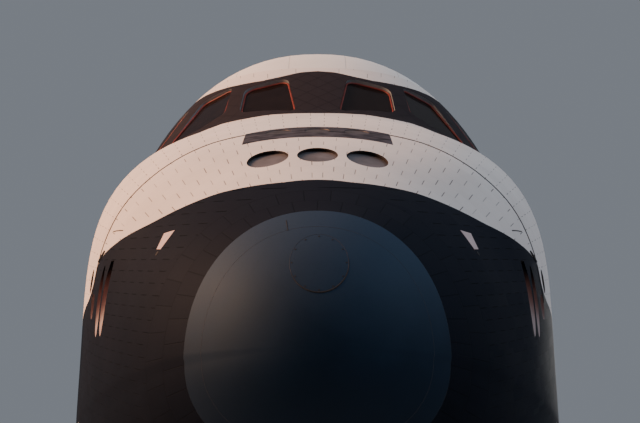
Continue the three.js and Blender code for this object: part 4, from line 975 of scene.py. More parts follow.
def hull_rings(stations, inset=0.0):
    """Rings of the fuselage: below the waist x is width sin^(2/n) and z is depth cos^(2/n) of a quarter
    turn, above it the points lie at even angles."""
    at = {name: value[:, None] for name, value in section_at(np.asarray(stations, float)).items()}
    turn = np.linspace(0, np.pi / 2, LOWER_STEPS + 1)[None]
    width = at["width"] - inset
    x_low = width * np.sin(turn) ** (2 / at["below"])
    drop = (at["waist"] - at["belly"] - inset) * np.maximum(np.cos(turn), 0) ** (2 / at["below"])
    drop[:, -1] = 0
    angle = np.linspace(0, np.pi / 2, UPPER_STEPS + 1)[None, 1:]
    radius = upper_radius(at, angle, inset)
    x_high = radius * np.cos(angle)
    x_high[:, -1] = 0
    x = np.hstack([x_low, x_high])
    z = np.hstack([at["waist"] - drop, at["waist"] + radius * np.sin(angle)])
    x = np.hstack([x, -x[:, -2:0:-1]])
    z = np.hstack([z, z[:, -2:0:-1]])
    y = np.broadcast_to(np.asarray(stations, float)[:, None], x.shape)
    return np.stack([x, y, z], -1)


def hull(stations, inset=0.0):
    return loft(hull_rings(stations, inset))


def outside_skin(points):
    """How far points lie outside the fuselage's skin, in inches, measured from the waist."""
    points = np.asarray(points, float)
    at = section_at(points[..., 1])
    side = np.abs(points[..., 0])
    rise = points[..., 2] - at["waist"]
    return np.hypot(side, rise) - skin_radius(at, np.arctan2(rise, side))


def skin_hit(start, way, far=120.0, samples=160):
    """Where rays from start along way first meet the skin."""
    start, way = np.atleast_2d(np.asarray(start, float)), np.asarray(way, float)
    way = np.broadcast_to(way / np.linalg.norm(way, axis=-1, keepdims=True), start.shape)
    steps = np.linspace(0, far, samples)
    level = outside_skin(start[:, None] + steps[None, :, None] * way[:, None])
    crossed = np.argmax((level[:, 1:] < 0) & (level[:, :-1] >= 0), axis=1)
    low, high = steps[crossed], steps[crossed + 1]
    for _ in range(HALVINGS):
        middle = (low + high) / 2
        out = outside_skin(start + middle[:, None] * way) > 0
        low, high = np.where(out, middle, low), np.where(out, high, middle)
    return start + low[:, None] * way


def skin_normal(points, span=0.5):
    """Outward unit vectors of the skin at points on it, from the level's slopes."""
    points = np.atleast_2d(points)
    steps = np.eye(3) * span
    slope = np.stack([outside_skin(points + step) - outside_skin(points - step) for step in steps], -1)
    return slope / np.linalg.norm(slope, axis=-1, keepdims=True)


# Length along the hull by station, and share of the half girth by station and angle, for rows of tiles.
STATION_GRID = np.concatenate([np.linspace(238.4, 300, 60), np.linspace(302, CABIN_END, 120)])
ANGLE_GRID = np.linspace(-np.pi / 2, np.pi / 2, 241)


def girth_table():
    """Share of the half girth from the roof down, at each station and angle, with the girth itself."""
    at = {name: value[:, None] for name, value in section_at(STATION_GRID).items()}
    radius = skin_radius(at, ANGLE_GRID[None])
    outline = np.stack([radius * np.cos(ANGLE_GRID), radius * np.sin(ANGLE_GRID)], -1)
    steps = np.linalg.norm(np.diff(outline, axis=1), axis=-1)
    from_belly = np.hstack([np.zeros((len(STATION_GRID), 1)), np.cumsum(steps, axis=1)])
    girth = from_belly[:, -1]
    return 1 - from_belly / girth[:, None], girth


GIRTH_SHARE, GIRTH = girth_table()
RUN_ALONG = np.hypot(np.diff(STATION_GRID), np.diff(half_width(STATION_GRID)) * 0.8)
ALONG_GRID = np.concatenate([[0], np.cumsum(RUN_ALONG)])
CAP_ALONG = float(np.interp(CAP_END, STATION_GRID, ALONG_GRID))


def tile_coordinates(points):
    """Length along the hull, share of the half girth, and the girth, at points."""
    station = points[:, 1]
    at = section_at(station)
    angle = np.arctan2(points[:, 2] - at["waist"], np.abs(points[:, 0]))
    past = np.maximum(station - CABIN_END, 0)
    along = np.interp(station, STATION_GRID, ALONG_GRID) + past
    row = np.interp(station, STATION_GRID, np.arange(len(STATION_GRID)))
    column = (angle + np.pi / 2) / np.pi * (len(ANGLE_GRID) - 1)
    r0 = np.clip(row.astype(int), 0, len(STATION_GRID) - 2)
    c0 = np.clip(column.astype(int), 0, len(ANGLE_GRID) - 2)
    fr, fc = row - r0, column - c0
    share = ((GIRTH_SHARE[r0, c0] * (1 - fc) + GIRTH_SHARE[r0, c0 + 1] * fc) * (1 - fr)
             + (GIRTH_SHARE[r0 + 1, c0] * (1 - fc) + GIRTH_SHARE[r0 + 1, c0 + 1] * fc) * fr)
    girth = np.interp(station, STATION_GRID, GIRTH)
    return np.stack([along, share, girth], -1)


# Pieces.
SKIN_DEPTH = 0.35  # faces nearer to the skin than this are painted as skin


def mesh_values(items, name):
    """One vector of each of a mesh's points or faces."""
    values = np.empty(len(items) * 3)
    items.foreach_get(name, values)
    return values.reshape(-1, 3)


def piece(name, solid, body, looks, slot, replaced=(), choose=None, sharp=32, bevel=0.0, tiles=False):
    """Makes a solid a finished object that rides on a body. looks names its materials, and choose gives the
    number of the material of each face from the faces' middles and normals. Bevel is in inches."""
    mesh = solid.mesh.copy()
    mesh.name = name
    mesh.materials.clear()
    for look in looks:
        mesh.materials.append(MATERIALS[look])
    mesh.polygons.foreach_set("use_smooth", np.ones(len(mesh.polygons), bool))
    chosen = np.zeros(len(mesh.polygons), np.int32)
    if choose is not None:
        chosen[:] = choose(mesh_values(mesh.polygons, "center"), mesh_values(mesh.polygons, "normal"))
    mesh.polygons.foreach_set("material_index", chosen)
    if tiles:
        attribute = mesh.attributes.new("tiles", "FLOAT_VECTOR", "POINT")
        values = tile_coordinates(mesh_values(mesh.vertices, "co")).astype(np.float32)
        attribute.data.foreach_set("vector", values.ravel())
    mesh.set_sharp_from_angle(angle=math.radians(sharp))
    mesh.transform(PARKED)
    mesh.update()
    made = bpy.data.objects.new(name, mesh)
    bpy.context.scene.collection.objects.link(made)
    if bevel:
        modifier = made.modifiers.new("Edges", "BEVEL")
        modifier.width = bevel * INCH
        modifier.segments = 2
        modifier.limit_method = "ANGLE"
        modifier.angle_limit = math.radians(40)
        modifier.harden_normals = True
    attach(made, body)
    if replaced:
        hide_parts(*replaced)
    return made


def cad_solid(node):
    """A merged copy of a node's own mesh, back in the airframe's inches."""
    mesh = frame["nodes"][node].data.copy()
    mesh.transform(PARKED.inverted())
    work = bmesh.new()
    work.from_mesh(mesh)
    bmesh.ops.remove_doubles(work, verts=work.verts, dist=1e-3)
    bmesh.ops.dissolve_limit(work, angle_limit=math.radians(0.2), verts=work.verts, edges=work.edges)
    work.to_mesh(mesh)
    work.free()
    return Solid(mesh)


def skin_or_inside(depth=SKIN_DEPTH):
    """Chooses material 0 for faces on the skin and 1 for the rest."""
    return lambda middles, _: np.where(outside_skin(middles) > -depth, 0, 1)


SIDES = ("left", "right")


def pair(name, solid, body, looks, slot, replaced=(), **options):
    """A piece and its mirror image on the right. {} in the names stands for the side."""
    for side in SIDES:
        placed = solid if side == "left" else solid.mirrored()
        nodes = [node.format(side) for node in replaced]
        piece(name.format(side), placed, body.format(side), looks, slot, nodes, **options)


# Nose cap with its round access plate.
# The lip is the height of the dark crescent under the plate: a slight raised lip, painted dark as its
# shadow.
PLATE = {
    "middle": (0.4, 244.8, 357.15), "radius": 7.2, "height": 0.94, "line": 0.04, "lip": 0.17,
    "bolts": 12, "bolt_ring": 0.93, "bolt": 0.26, "up": (0, -0.88, 0.48),
}
CAP_LINE = {"station": 251, "radius": 0.035}
CAP_MARK = {"x": -7.9, "low": 366.4, "high": 369.6, "lean": 0.5}


def plate_points(radius, turns):
    """Points on the cap whose outline is round as seen along the plate's axis."""
    way = np.array([0, math.cos(VIEW_PITCH), math.sin(VIEW_PITCH)])
    over = np.array([0, -math.sin(VIEW_PITCH), math.cos(VIEW_PITCH)])
    side = np.array([1.0, 0, 0])
    cos, sin = np.cos(turns)[:, None], np.sin(turns)[:, None]
    offsets = radius * (cos * side + sin * over * PLATE["height"])
    return skin_hit(np.array(PLATE["middle"]) + offsets - 40 * way, way)


def build_nose_cap():
    steps = np.linspace(0.02, 1, 40)
    stations = NOSE_TIP + (CAP_END - NOSE_TIP) * steps**2
    piece("nose_cap_shell", hull(stations), "airframe", ["carbon"], "carbon", ["nose_cap"], sharp=50)
    turns = np.linspace(0, 2 * np.pi, 96, endpoint=False)
    rim = tube(plate_points(PLATE["radius"], turns), PLATE["line"], 6, close=True, up=PLATE["up"])
    piece("nose_plate_rim", rim, "airframe", ["ring"], "carbon")
    # A thin raised lip under the plate's lower edge, painted dark as the shadow beneath it.
    turns = np.linspace(math.radians(200), math.radians(368), 60)
    thick = PLATE["line"] + PLATE["lip"] * np.sin(np.linspace(0, np.pi, 60))[:, None, None]
    lip = tube(plate_points(PLATE["radius"] * 1.01, turns), thick, 8, up=PLATE["up"])
    piece("nose_plate_lip", lip, "airframe", ["hole"], "carbon")
    around = hull_rings([CAP_LINE["station"], CAP_END])[0]
    ring = tube(around, CAP_LINE["radius"], 6, close=True, up=(0, 1, 0))
    piece("nose_cap_line", ring, "airframe", ["ring"], "carbon")
    turns = np.arange(PLATE["bolts"]) * 2 * np.pi / PLATE["bolts"]
    middles = plate_points(PLATE["radius"] * PLATE["bolt_ring"], turns)
    normals = skin_normal(middles)
    bolts = joined([bar(m - n * 0.2, m + n * 0.07, PLATE["bolt"], 12, PLATE["bolt"] * 0.8)
                    for m, n in zip(middles, normals)])
    piece("nose_plate_bolts", bolts, "airframe", ["hole"], "carbon")
    tall = CAP_MARK["high"] - CAP_MARK["low"]
    starts = [(CAP_MARK["x"] + CAP_MARK["lean"] * (1 - t), 100, CAP_MARK["low"] + t * tall)
              for t in np.linspace(0, 1, 12)]
    mark = tube(skin_hit(starts, (0, 1, 0), 200, 300), 0.1, 6)
    piece("nose_cap_slot", mark, "airframe", ["hole"], "carbon")


# Forward thruster module with its jets.
# Places on the port side as x, station, height.
SEAM = [
    (24.2, 342.4, 418), (34.7, 342, 415.5), (42, 339.6, 411.1), (48.1, 337.2, 406.4),
    (54, 336, 400.9), (58.2, 336.4, 397.3), (62.5, 337.8, 392.9), (67.7, 340, 384),
    (70.4, 342.4, 377), (71.8, 344, 370), (72.6, 346, 362),
]
SEAM_RADIUS = 0.24
MARK_CORNERS = [(43.9, 292.6, 374.5), (40, 287.4, 374.1), (43.6, 286.4, 368.4), (45.2, 289.3, 369)]
MARK_HOLE = {"middle": (44.6, 287.3, 367.3), "radius": 0.75}
SLITS = [
    # start, end, half width, look
    ((64.9, 332.2, 383.1), (60.3, 322.4, 381.4), 0.17, "seam"),
    ((67.8, 334.6, 377), (70.8, 342, 375.2), 0.5, "hole"),
]


def jet_bar(at, way, radius):
    """The bore of a jet, a little wider towards its mouth."""
    at, way = np.asarray(at, float), np.asarray(way, float) / np.linalg.norm(way)
    inner, outer = -THRUSTER_BORE["depth"], THRUSTER_BORE["over"]
    wide = [radius * (1 + distance * THRUSTER_BORE["flare"]) for distance in (inner, outer)]
    return bar(at + way * inner, at + way * outer, wide[0], THRUSTER_BORE["sides"], wide[1])


def both_sides(at, way):
    """A place and its way, with its mirror image unless it is in the middle."""
    yield np.array(at, float), np.array(way, float)
    if at[0]:
        yield np.array([-at[0], *at[1:]], float), np.array([-way[0], *way[1:]], float)


def on_skin(points):
    """The points moved along lines square to the hull's long axis until they lie on the skin."""
    points = np.atleast_2d(np.asarray(points, float))
    middle = np.column_stack([points[:, 0] * 0, points[:, 1], points[:, 2] * 0 + TIP_HEIGHT])
    outward = points - middle
    return skin_hit(middle + outward * 1.3, -outward, 60)


def build_marks():
    """The pale sensor cover with the hole below it, and the slits beside the seam."""
    corners = on_skin(MARK_CORNERS)
    normal = skin_normal(corners).mean(axis=0)
    cover = loft([corners - normal * 0.3, corners + normal * 0.13])
    pair("sensor_cover_{}", cover, "airframe", ["mark"], "white_tile", bevel=0.04)
    middle = on_skin(MARK_HOLE["middle"])[0]
    normal = skin_normal(middle)[0]
    hole = bar(middle - normal * 0.3, middle + normal * 0.05, MARK_HOLE["radius"], 20)
    pair("sensor_hole_{}", hole, "airframe", ["hole"], "black_tile")
    for number, (start, end, half, look) in enumerate(SLITS, 1):
        line = tube(on_skin(np.linspace(start, end, 14)), half, 8)
        pair(f"nose_slit_{number}_{{}}", line, "airframe", [look], "white_tile")


def build_module():
    stations = np.concatenate([[CAP_END], np.arange(258.5, MODULE["end"] + 5, 2.5)])
    limits = block((-FAR, FAR), (MODULE["start"], MODULE["end"]), (DECK + SEAT, FAR * 2))
    body = hull(stations) & limits
    for at, way, radius, _ in THRUSTERS:
        for middle, direction in both_sides(at, way):
            body = body - jet_bar(middle, direction, radius)

    def choose(middles, normals):
        inside = outside_skin(middles) < -SKIN_DEPTH
        scarfed = inside & (np.abs(middles[:, 0]) > SIDE_JETS_SPAN)
        return np.where(scarfed, 2, np.where(inside, 1, 0))

    piece("forward_module_shell", body, "airframe", ["skin", "liner", "pale_liner"], "white_tile",
          ["forward_rcs_module"], choose, tiles=True)
    plugs = {"plug": [], "cover": []}
    for at, way, radius, depth in THRUSTERS:
        if depth is None:
            continue
        for middle, direction in both_sides(at, way):
            hit = skin_hit(middle + direction * 30, -direction, 60)[0]
            normal = skin_normal(hit)[0]
            slant = radius / max(float(normal @ direction), 0.3)
            floor = hit - normal * depth
            disc = bar(floor - normal * 0.5, floor, slant * 1.08, 40)
            disc = disc & jet_bar(middle, direction, radius * 1.03)
            plugs["cover" if way[2] > 0.5 else "plug"].append(disc)
    piece("forward_jet_plugs", joined(plugs["plug"]), "airframe", ["plug"], "white_tile")
    piece("upward_jet_covers", joined(plugs["cover"]), "airframe", ["cover"], "white_tile")
    corners = np.array(SEAM)
    fine = np.linspace(0, len(corners) - 1, 60)
    path = np.stack([np.interp(fine, np.arange(len(corners)), corners[:, k]) for k in range(3)], -1)
    line = tube(on_skin(path), SEAM_RADIUS, 6)
    pair("module_seam_{}", line, "airframe", ["seam"], "white_tile")
    build_marks()


# Forward fuselage, its windows and its hatch.
def window_frame(corners):
    """The plane of a window: its middle, two directions and outward normal, and its corners in it."""
    points = np.array([(span, station, height) for station, span, height in corners], float)
    middle = points.mean(axis=0)
    following = np.roll(points, -1, axis=0)
    normal = np.cross(points - middle, following - middle).sum(axis=0)
    normal /= np.linalg.norm(normal)
    if normal @ (middle - np.array(CABIN_MIDDLE)) < 0:
        normal = -normal
    side = points[1] - points[0]
    side /= np.linalg.norm(side)
    along = np.cross(normal, side)
    along /= np.linalg.norm(along)
    side = np.cross(along, normal)
    offset = points - middle
    return middle, side, along, normal, np.stack([offset @ side, offset @ along], -1)


def window_outline(corners, corner, shrink=0.0, offset=0.0, steps=8):
    """The window's outline, its corners rounded by parabolas, moved in by shrink and out by offset."""
    middle, side, along, normal, flat = window_frame(corners)
    length = np.linalg.norm(flat, axis=1, keepdims=True)
    flat = flat * (1 - shrink / length)
    before, after = np.roll(flat, 1, axis=0) - flat, np.roll(flat, -1, axis=0) - flat
    start = flat + before / np.linalg.norm(before, axis=1, keepdims=True) * corner
    end = flat + after / np.linalg.norm(after, axis=1, keepdims=True) * corner
    t = np.linspace(0, 1, steps)[None, :, None]
    curve = (1 - t) ** 2 * start[:, None] + 2 * t * (1 - t) * flat[:, None] + t**2 * end[:, None]
    curve = curve.reshape(-1, 2)
    return middle + offset * normal + curve[:, :1] * side + curve[:, 1:] * along


def window_prism(corners, corner, low, high, shrink=0.0):
    return loft([window_outline(corners, corner, shrink, level) for level in (low, high)])


CABIN_STATIONS = np.concatenate([[396], np.arange(400, 576, 8), [576]])


def cabin_room(inset=WALL, low=DECK):
    return hull(CABIN_STATIONS, inset) & block((-FAR, FAR), (300, 700), (low, FAR * 2))


def hatch_cone(gap):
    station, height, radius = HATCH["station"], HATCH["height"], HATCH["radius"]
    inner = radius - gap - (HATCH["taper"] if gap else 0)
    return bar((80, station, height), (112, station, height), inner, 72, radius - gap)


def build_forward_fuselage():
    inner_stations = np.arange(258.5, CABIN_END - 2, 3.0)
    shell = hull(np.concatenate([[CAP_END + SEAT], inner_stations, [CABIN_END - SEAT]]))
    floor = block((-FAR, FAR), (200, 700), (0, DECK))
    rim = block((-FAR, FAR), (200, MODULE["start"] - SEAT), (DECK - WALL, FAR * 2))
    half = NOSE_WELL["half"]
    well = block((-half, half), (NOSE_WELL["start"], NOSE_WELL["end"]), (200, NOSE_WELL["roof"]))
    lower = (shell & (floor + rim)) - well
    piece("forward_lower_shell", lower, "airframe", ["skin", "cabin"], "black_tile",
          ["forward_fuselage_lower"], skin_or_inside(), tiles=True)
    upper = shell & block((-FAR, FAR), (MODULE["end"] + SEAT, 700), (DECK + SEAT, FAR * 2))
    upper = upper - cabin_room() - hatch_cone(0)
    for _, corner, corners in WINDOWS:
        hole = window_prism(corners, corner, -12, 8)
        upper = upper - hole - hole.mirrored()
    piece("forward_upper_shell", upper, "airframe", ["skin", "cabin"], "white_tile",
          ["forward_fuselage_upper"], skin_or_inside(), tiles=True)
    station, span, height = HATCH["station"], HATCH_HINGE["span"], HATCH_HINGE["height"]
    pin = rod((span, station, height), "y", 7, HATCH_HINGE["pin"], 20)
    lugs = [block((span - 6, span + 1), (middle - 1, middle + 1), (height - 3, height + 1))
            for middle in (station - 6, station + 6)]
    piece("hatch_hinge", joined([pin, *lugs]), "airframe", ["dark_metal"], "gear", bevel=0.1)


def build_windows():
    for name, corner, corners in WINDOWS:
        front = -PANE["recess"]
        pane = window_prism(corners, corner, front - PANE["thickness"], front, 2 * SEAT)
        ring = window_outline(corners, corner, SEAL["inset"], -SEAL["depth"], 10)
        seal = tube(ring, SEAL["radius"], 10, close=True, up=window_frame(corners)[3])
        pair(f"{name}_pane_{{}}", pane, "airframe", ["glass"], "glass", [f"{name}_{{}}"], bevel=0.15)
        pair(f"{name}_seal_{{}}", seal, "airframe", ["seal"], "glass")


def build_hatch():
    station, span, height = HATCH["station"], HATCH_HINGE["span"], HATCH_HINGE["height"]
    level, radius = HATCH["height"], HATCH["window"]
    rows = np.arange(480, 531, 5)
    skin = hull(rows) - hull([478, *rows[1:-1], 532], WALL)
    window = bar((80, station, level), (112, station, level), radius, 48)
    plug = (skin & hatch_cone(RUN)) - window
    piece("hatch_plug", plug, "hatch", ["skin", "cabin"], "white_tile", ["side_hatch"],
          skin_or_inside(), tiles=True)
    half = 5 - RUN
    sleeve = rod((span, station, height), "y", half, 1.3)
    arm = block((span - 1.3, span + 0.6), (station - half, station + half), (height + 0.6, height + 7))
    foot = block((span - 5.6, span + 0.6), (station - half, station + half), (height + 4.8, height + 8.3))
    hole = rod((span, station, height), "y", 8, HATCH_HINGE["pin"] + PIN_ROOM, 32)
    piece("hatch_knuckle", joined([sleeve, arm, foot]) - hole, "hatch", ["dark_metal"], "gear", bevel=0.1)
    surface = float(skin_hit((130, station, level), (-1, 0, 0), 60)[0][0])
    pane = bar((surface - 2.4, station, level), (surface - 1.2, station, level), radius + 0.02, 48)
    piece("hatch_pane", pane, "hatch", ["glass"], "glass")
    profile = [(5, -1.6), (6.6, -1.6), (6.6, 0.12), (6.2, 0.3), (5.3, 0.3), (5, 0.1)]
    ring = turned(profile, (surface, station, level), (1, 0, 0), 48)
    piece("hatch_window_rim", ring, "hatch", ["black_side"], "black_tile")


SEAT_LEVEL = 416.5
# Two rows of screens. The middle one of the lower row is left out.
SCREENS = {"pitch": 8.4, "half": (3.3, 3), "station": (419.02, 419.3), "heights": (425, 433)}


def build_cabin():
    def seat_or_deck(middles, _):
        return np.where(middles[:, 2] > SEAT_LEVEL, 1, 0)

    piece("cabin_deck", cad_solid("flight_deck"), "airframe", ["cabin", "seat"], "cabin", ["flight_deck"],
          seat_or_deck, bevel=0.5)
    piece("cabin_panel", cad_solid("instrument_panel"), "airframe", ["cabin"], "cabin",
          ["instrument_panel"], bevel=0.4)
    wide, high = SCREENS["half"]
    places = [(x, z) for x in np.arange(-4, 5) * SCREENS["pitch"] for z in SCREENS["heights"]
              if x or z > SCREENS["heights"][0]]
    screens = [block((x - wide, x + wide), SCREENS["station"], (z - high, z + high)) for x, z in places]
    piece("cabin_screens", joined(screens), "airframe", ["screen"], "cabin", bevel=0.1)


# Mid fuselage, payload bay and doors.
BAY_FRAMES = {"radii": (90.5, 93.9), "half": 1.3, "count": 13, "turn": (188, 352)}
RADIATORS = {"radii": (97.4, 98.6), "rise": 100 / HALF_WIDTH, "turn": (15, 86), "apart": 1}


def arch(turn, steps, radii, stations, rise=1.0):
    """A strip between two radii and two stations, bent about the bay's axis from one angle to another."""
    (inner, outer), (front, back) = radii, stations
    corners = [(inner, front), (inner, back), (outer, back), (outer, front)]
    angles = np.linspace(*np.radians(turn), steps)
    return loft([[(math.cos(angle) * radius, station, BAY_AXIS + math.sin(angle) * radius * rise)
                  for radius, station in corners] for angle in angles])


def build_mid_fuselage():
    below = hull([CABIN_END, BAY_END - SEAT]) & block((-FAR, FAR), STATIONS, (0, SILL))
    trough = below - bar((0, 500, BAY_AXIS), (0, 1400, BAY_AXIS), BAY_RADIUS, 96)
    piece("mid_fuselage_shell", trough, "airframe", ["skin", "liner_cloth"], "blanket", ["mid_fuselage"],
          skin_or_inside(), tiles=True)
    hinges = []
    span, height = DOOR_HINGE["span"], DOOR_HINGE["height"]
    half = DOOR_HINGE["length"] / 2
    for station in DOOR_HINGE_STATIONS:
        hinges.append(rod((span, station, height), "y", half + 1, DOOR_HINGE["pin"]))
        for side in (-1, 1):
            near = station + side * half
            far = near + side * DOOR_HINGE["lug"]
            hinges.append(block((span - 8, span), sorted((near, far)), (height - 6, height)))
            hinges.append(bar((span, near, height), (span, far, height), DOOR_HINGE["knuckle"], 24))
    pair("sill_hinges_{}", joined(hinges), "airframe", ["skin"], "blanket", tiles=True, bevel=0.1)
    half = BAY_FRAMES["half"]
    ribs = [arch(BAY_FRAMES["turn"], 60, BAY_FRAMES["radii"], (station - half, station + half))
            for station in np.linspace(CABIN_END + 3, BAY_END - 3, BAY_FRAMES["count"])]
    piece("bay_frames", joined(ribs), "airframe", ["frame"], "blanket", bevel=0.15)


def build_doors():
    start, end = CABIN_END + DOOR["end"], BAY_END - DOOR["end"]
    thick = hull([start, end]) - hull([start - 9, end + 9], DOOR["wall"])
    shell = thick & block((DOOR["middle"], FAR), STATIONS, (DOOR["bottom"], FAR * 2))
    span, height = DOOR_HINGE["span"], DOOR_HINGE["height"]
    half = DOOR_HINGE["length"] / 2 - RUN
    knuckles = []
    for station in DOOR_HINGE_STATIONS:
        ear = rod((span, station, height), "y", half, DOOR_HINGE["knuckle"])
        heights = (DOOR["bottom"], DOOR["bottom"] + 2)
        arm = block((span - 6, span), (station - half, station + half), heights)
        hole = rod((span, station, height), "y", 6, DOOR_HINGE["pin"] + PIN_ROOM, 32)
        knuckles.append((ear + arm) - hole)
    edges = np.linspace(start + 4, end - 4, 5)
    turn, radii, rise = RADIATORS["turn"], RADIATORS["radii"], RADIATORS["rise"]
    ends = zip(edges[:-1] + RADIATORS["apart"], edges[1:] - RADIATORS["apart"])
    panels = [arch(turn, 40, radii, stations, rise) for stations in ends]
    pair("bay_door_shell_{}", shell, "bay_door_{}", ["skin", "radiator"], "radiator",
         ["payload_bay_door_{}"], choose=skin_or_inside(1.0), tiles=True)
    pair("bay_door_knuckles_{}", joined(knuckles), "bay_door_{}", ["frame"], "radiator", bevel=0.1)
    pair("bay_door_radiators_{}", joined(panels), "bay_door_{}", ["radiator"], "radiator", bevel=0.2)


# Wings, leading edges and elevons.
def leading_edge(span):
    glove = GLOVE["station"] + (span - GLOVE["span"]) * GLOVE["slope"]
    return glove if span < GLOVE["end"] else EDGE_LINE + span


def wing_floor(span):
    return WING_FLOOR + max(span - HALF_WIDTH, 0) * DIHEDRAL


def hinge_radius(span):
    share = (span - HALF_WIDTH) / (WING_TIP - HALF_WIDTH)
    return HINGE_RADIUS[0] + (HINGE_RADIUS[1] - HINGE_RADIUS[0]) * share


def hinge_height(span):
    return wing_floor(span) + hinge_radius(span)


def wing_ring(section):
    """Outline of the wing at a span: an arc up to the crest, a straight back, the elevon's cove, a flat
    floor and a round nose below."""
    span, crest, thickness, power = section
    front = max(leading_edge(span), GLOVE["station"] - 60)
    floor, radius, middle = wing_floor(span), hinge_radius(span), hinge_height(span)
    around = (radius + RUN) / math.cos(math.pi / 21)
    edge = floor + thickness * 0.28
    turn = np.linspace(0, np.pi / 2, 26)
    upper = np.stack([front + (crest - front) * (1 - np.cos(turn)),
                      edge + (floor + thickness - edge) * np.sin(turn) ** power], -1)
    lip = HINGE_STATION - LIP["upper"] * radius
    depth = max(LIP["lower"] * radius, math.sqrt(around**2 - (radius - LIP["thin"]) ** 2))
    back = [((crest + lip) / 2, floor + thickness * 0.62 + radius * 0.76), (lip, middle + radius * 1.03)]
    start = math.acos(-LIP["upper"] * radius / around)
    sweep = np.linspace(start, 2 * math.pi - math.acos(-depth / around), 16)
    cove = np.stack([HINGE_STATION + around * np.cos(sweep), middle + around * np.sin(sweep)], -1)
    under = (crest - front) * 0.16
    turn = np.linspace(0, np.pi / 2, 12)[:-1]
    lower = np.stack([front + under * (1 - np.sin(turn)), edge + (floor - edge) * np.cos(turn)], -1)
    return ring_at(span, np.vstack([upper, back, cove, [(HINGE_STATION - depth, floor)], lower]))


def edge_region(grow):
    """The room of the carbon edge panels: a band behind the leading edge."""
    line = EDGE_LINE + EDGE_PANELS["chord"]
    glove = GLOVE["station"] + EDGE_PANELS["glove"]
    kink = (line - glove + GLOVE["span"] * GLOVE["slope"]) / (GLOVE["slope"] - 1)
    start = EDGE_PANELS["start"]
    root = GLOVE["span"] + (start - glove) / GLOVE["slope"]
    corners = [(root - grow, start - grow), (kink - grow, line + kink + grow), (500, line + 500 + grow),
               (520, 1290), (230, 1000), (200, start - grow)]
    return loft([[(x, y, z) for x, y in corners] for z in (200, 400)])


def edge_gap(span):
    """The slot between two edge panels, square to the leading edge at a span."""
    slope = GLOVE["slope"] if span < GLOVE["end"] else 1.0
    along = np.array([1.0, slope, 0]) / math.hypot(1, slope)
    inward = np.array([-slope, 1.0, 0]) / math.hypot(1, slope)
    half = along * EDGE_PANELS["gap"] / 2
    low, high = np.array([0, 0, 240]), np.array([0, 0, 360])
    front = np.array([span, leading_edge(span), 0])
    corners = [low - half, low + half, high + half, high - half]
    return loft([[front + inward * behind + corner for corner in corners] for behind in (-20, 70)])


def wing_choice(_, normals):
    """Material 0, white, on top, and 1, black, underneath."""
    return np.where(normals[:, 2] > 0.12, 0, 1)


def elevon_brackets():
    """The plates and pins that carry a side's elevons. The first and last pin stand on one side only."""
    solids = []
    half, length = BRACKET["half"], BRACKET["length"]
    for span in ELEVON_BRACKETS:
        height = hinge_height(span)
        deep = HINGE_STATION - hinge_radius(span) - 4
        stations = (deep, HINGE_STATION + BRACKET["reach"])
        solids.append(block((span - half, span + half), stations, (height - 2.4, height + 2.4)))
        low = span if span == ELEVON_BRACKETS[0] else span - length
        high = span if span == ELEVON_BRACKETS[-1] else span + length
        ends = [(x, HINGE_STATION, hinge_height(x)) for x in (low, high)]
        solids.append(bar(*ends, BRACKET["pin"], 24))
    return joined(solids)


def build_wings():
    whole = loft([wing_ring(section) for section in WING_SECTIONS])
    beside = hull(np.concatenate([np.arange(440, CABIN_END, 8), [CABIN_END, 1600]]), -SEAT)
    spans, stations = (MAIN_WELL["low"], MAIN_WELL["high"]), (MAIN_WELL["start"], MAIN_WELL["end"])
    well = block(spans, stations, (100, MAIN_WELL["roof"]))
    body = whole - beside - edge_region(SEAT) - well
    edge = whole & edge_region(0)
    for span in np.linspace(EDGE_PANELS["first"], WING_TIP, EDGE_PANELS["count"] + 1)[1:-1]:
        edge = edge - edge_gap(span)
    pair("wing_shell_{}", body, "airframe", ["quilt_flat", "black_flat"], "white_tile", ["wing_{}"],
         choose=wing_choice)
    pair("elevon_brackets_{}", elevon_brackets(), "airframe", ["dark_metal"], "gear", bevel=0.1)
    pair("wing_edge_panels_{}", edge, "airframe", ["carbon"], "carbon", ["wing_leading_edge_{}"])


def elevon_ring(span):
    """Outline of an elevon at a span: half a turn about the hinge, then straight sides to a thin edge."""
    radius, middle = hinge_radius(span), hinge_height(span)
    edge = TRAILING["station"] - span * TRAILING["slope"]
    height = middle - radius * 0.55
    nose = round_nose(HINGE_STATION, middle, radius)
    return ring_at(span, np.vstack([nose, [(edge, height - 0.5), (edge, height + 0.5)]]))


def build_elevons():
    deep = BRACKET["length"] + 1
    for part, low, high in ELEVONS:
        body = loft([elevon_ring(low), elevon_ring(high)])
        for span in ELEVON_BRACKETS:
            spans = (max(span - deep, HALF_WIDTH), span + deep)
            ends = [(x, HINGE_STATION, hinge_height(x)) for x in spans]
            body = body - bar(*ends, BRACKET["pin"] + PIN_ROOM, 32)
        pair(f"{part}_skin_{{}}", body, f"{part}_{{}}", ["quilt_flat", "black_flat"], "white_tile",
             [f"{part}_{{}}"], choose=wing_choice, bevel=0.15)


# Aft fuselage, tail, pods, engines and flap.
def tilt(up, out):
    rise, side = math.radians(up), math.radians(out)
    return np.array([math.sin(side) * math.cos(rise), math.cos(side) * math.cos(rise), math.sin(rise)])


